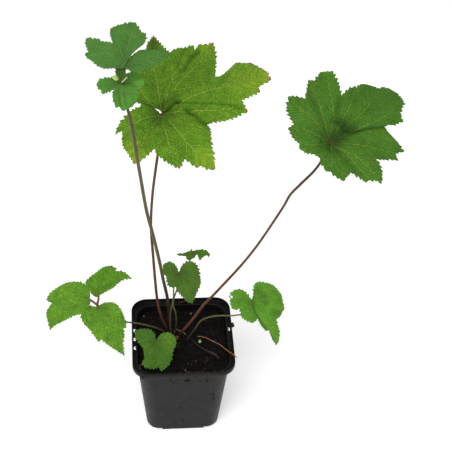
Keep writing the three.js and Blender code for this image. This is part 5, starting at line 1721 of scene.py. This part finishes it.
class Paint:
    """A material and short ways to add its nodes."""

    def __init__(self, name, roughness):
        self.material = bpy.data.materials.new(name)
        self.material.use_nodes = True
        self.tree = self.material.node_tree
        self.shader = self.tree.nodes["Principled BSDF"]
        self.shader.inputs["Roughness"].default_value = roughness
        self.where = self.node("ShaderNodeTexCoord").outputs["Object"]
        self.made = {}

    def node(self, kind, links=(), **settings):
        made = self.tree.nodes.new(kind)
        for key, value in settings.items():
            setattr(made, key, value)
        for socket, source in links:
            if isinstance(source, bpy.types.NodeSocket):
                self.tree.links.new(source, made.inputs[socket])
            else:
                made.inputs[socket].default_value = source
        return made

    def value(self, name):
        """A number that the mesh keeps at each point."""
        return self.node("ShaderNodeAttribute", attribute_name=name).outputs["Fac"]

    def sum(self, a, b):
        return self.node("ShaderNodeMath", [(0, a), (1, b)], operation="ADD").outputs[0]

    def product(self, a, b):
        return self.node("ShaderNodeMath", [(0, a), (1, b)], operation="MULTIPLY").outputs[0]

    def noise(self, scale, detail=3, rough=0.5, stretch=1):
        where = self.where
        if stretch != 1:
            drawn = [("Vector", where), ("Scale", (1, 1, stretch))]
            where = self.node("ShaderNodeMapping", drawn).outputs["Vector"]
        links = [("Vector", where), ("Scale", scale), ("Detail", detail), ("Roughness", rough)]
        return self.node("ShaderNodeTexNoise", links).outputs["Fac"]

    def cells(self, scale):
        """The distance to the edges of irregular cells."""
        links = [("Vector", self.where), ("Scale", scale)]
        return self.node("ShaderNodeTexVoronoi", links, feature="DISTANCE_TO_EDGE").outputs["Distance"]

    def follow(self, source):
        """What a layer follows: noise by its numbers, or a value by its name. Each is made once."""
        if source not in self.made:
            named = isinstance(source, str)
            self.made[source] = self.value(source) if named else self.noise(*source)
        return self.made[source]

    def span(self, source, low, high, to_low=0.0, to_high=1.0):
        """A value stretched from one range to another."""
        links = [(0, source), (1, low), (2, high), (3, to_low), (4, to_high)]
        return self.node("ShaderNodeMapRange", links).outputs[0]

    def layers(self, base, rows, words):
        """Layers of colour over a ground. Words in the rows stand for colours and numbers."""
        for color, source, low, high, *ends in rows:
            share = self.span(self.follow(source), low, high, *(words.get(end, end) for end in ends))
            colors = [
                v if isinstance(v, bpy.types.NodeSocket) else (*v, 1)
                for v in (base, words.get(color, color))
            ]
            links = [("Factor", share), (6, colors[0]), (7, colors[1])]
            base = self.node("ShaderNodeMix", links, data_type="RGBA").outputs[2]
        return base

    def ramp(self, source, stops):
        """Colours at places along the piece, with even changes between them."""
        made = self.node("ShaderNodeValToRGB", [("Fac", source)])
        ramp = made.color_ramp
        while len(ramp.elements) < len(stops):
            ramp.elements.new(0.5)
        for element, (place, color) in zip(ramp.elements, stops):
            element.position = place
            element.color = (*color, 1)
        return made.outputs["Color"]

    def bump(self, height, strength, distance):
        links = [("Height", height), ("Strength", strength), ("Distance", distance)]
        made = self.node("ShaderNodeBump", links)
        self.tree.links.new(made.outputs["Normal"], self.shader.inputs["Normal"])

    def set(self, **values):
        """Sets or links the shader's own inputs, and gives the material."""
        for key, value in values.items():
            socket = self.shader.inputs[key.replace("_", " ")]
            if isinstance(value, bpy.types.NodeSocket):
                self.tree.links.new(value, socket)
            else:
                socket.default_value = value
        return self.material


def leaf_paint(name, look):
    """A leaf's upper face: pale veins, painted shade in the hollows beside them, in its folds and at its
    heart, mottling and browned tips.
    """
    paint = Paint("leaf_" + name, LEAF["rough"])
    net = paint.cells(LEAF["net"])
    mottle = paint.product(paint.follow(LEAF["mottle"]), LEAF["mottle_share"])
    line = paint.span(paint.follow("vein"), *LEAF["line"])
    source, *ends = LEAF["breaks"]
    rim = paint.product(paint.value("rim"), LEAF["rim_share"])
    ragged = paint.sum(paint.noise(*LEAF["ragged"]), rim)
    paint.made.update({
        "net": net,
        "paleness": paint.sum(paint.value("pale"), mottle),
        "broken_line": paint.product(line, paint.span(paint.noise(*source), *ends)),
        "browned": paint.sum(paint.value("brown"), ragged),
    })
    base = paint.layers(look["dark"], LEAF_LAYERS, look)
    grain = paint.product(paint.noise(*LEAF["grain"]), LEAF["grain_share"])
    height = paint.sum(paint.span(net, *LEAF["ridges"]), grain)
    paint.bump(height, look["grain"], LEAF["depth"])
    return paint.set(Base_Color=base, **LEAF_SOCKETS)


def material(name, recipe):
    """A material by its recipe, on one ground colour or on colours along the piece."""
    paint = Paint(name, recipe["rough"])
    if "stops" in recipe:
        ground = paint.ramp(paint.follow("place"), recipe["stops"])
    else:
        ground = recipe["ground"]
    base = paint.layers(ground, recipe["layers"], recipe)
    source, strength, depth = recipe["bump"]
    height = paint.follow(source)
    if "net" in recipe:
        scale, *ends = recipe["net"]
        height = paint.sum(paint.span(paint.cells(scale), *ends), height)
    paint.bump(height, strength, depth)
    if "rough_by" in recipe:
        source, *ends = recipe["rough_by"]
        paint.set(Roughness=paint.span(paint.follow(source), *ends))
    sheen = recipe.get("sheen", 0)
    return paint.set(Base_Color=base, Specular_IOR_Level=recipe["gloss"], Sheen_Weight=sheen)


def mottled(name, light, dark, scale, rough, bump=0.4):
    """A matte material with two mottled tones and a grain."""
    grain = (scale, *MOTTLED["detail"])
    return material(name, {
        "rough": rough, "gloss": MOTTLED["gloss"], "ground": dark,
        "layers": [(light, grain, *MOTTLED["span"])], "bump": (grain, bump, MOTTLED["depth"]),
    })


def camera():
    """The camera at the photograph's viewing angle."""
    a, e, r = (math.radians(CAMERA[key]) for key in ("azimuth", "elevation", "roll"))
    back = Vector((math.sin(a) * math.cos(e), -math.cos(a) * math.cos(e), math.sin(e)))
    right = Vector((math.cos(a), math.sin(a), 0))
    up = back.cross(right)
    x = math.cos(r) * right + math.sin(r) * up
    y = -math.sin(r) * right + math.cos(r) * up
    data = bpy.data.cameras.new("camera")
    data.lens, data.sensor_width = CAMERA["lens"], CAMERA["sensor"]
    data.clip_end = CAMERA["far"]
    obj = linked("camera", data)
    turn = Matrix((x, y, back)).transposed().to_4x4()
    obj.matrix_world = Matrix.Translation(Vector(CAMERA["place"]) * MM) @ turn
    bpy.context.scene.camera = obj


def lights():
    """Soft white light from all round and one large lamp at the front."""
    world = bpy.data.worlds.new("studio")
    world.use_nodes = True
    background = world.node_tree.nodes["Background"]
    background.inputs["Strength"].default_value = WORLD_LIGHT
    background.inputs["Color"].default_value = WHITE
    bpy.context.scene.world = world
    data = bpy.data.lights.new("key", "AREA")
    data.size = KEY_LIGHT["size"] * MM
    data.energy = KEY_LIGHT["power"]
    key = linked("key", data)
    key.location = Vector(KEY_LIGHT["place"]) * MM
    key.rotation_euler = (-key.location).to_track_quat("-Z", "Y").to_euler()
    bpy.context.scene.view_settings.view_transform = "Standard"


def floor():
    """The plain pale floor."""
    half = FLOOR["half"]
    corners = [(-half, -half, 0), (half, -half, 0), (half, half, 0), (-half, half, 0)]
    obj = linked("floor", mesh_of("floor", corners, [[0, 1, 2, 3]]))
    paint = Paint("floor", FLOOR["rough"])
    obj.data.materials.append(paint.set(
        Base_Color=(*FLOOR["color"], 1), Emission_Color=WHITE, Emission_Strength=FLOOR["glow"],
    ))


def main():
    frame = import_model()
    camera()
    lights()
    floor()
    leaf_paints = {name: leaf_paint(name, look) for name, look in LEAF_LOOKS.items()}
    leaf_paints["under"] = material("leaf_under", RECIPES["leaf_under"])
    for name, blade in BLADES.items():
        blade_piece(name, blade, leaf_paints)
    for name, stalk in STALKS.items():
        stalk_piece(name, stalk)
    for name, bud in BUDS.items():
        bud_piece(name, bud)
    for name, litter in LITTER.items():
        litter_piece(name, litter)
    seed_piece()
    soil_piece(material("soil", RECIPES["soil"]))
    crumb_piece()
    grain_piece()
    fibre_piece()
    pot_piece()
    rhizome = frame["nodes"]["rhizome_and_roots"]
    rhizome.data.materials.clear()
    rhizome.data.materials.append(mottled("rhizome", **RHIZOME))


main()
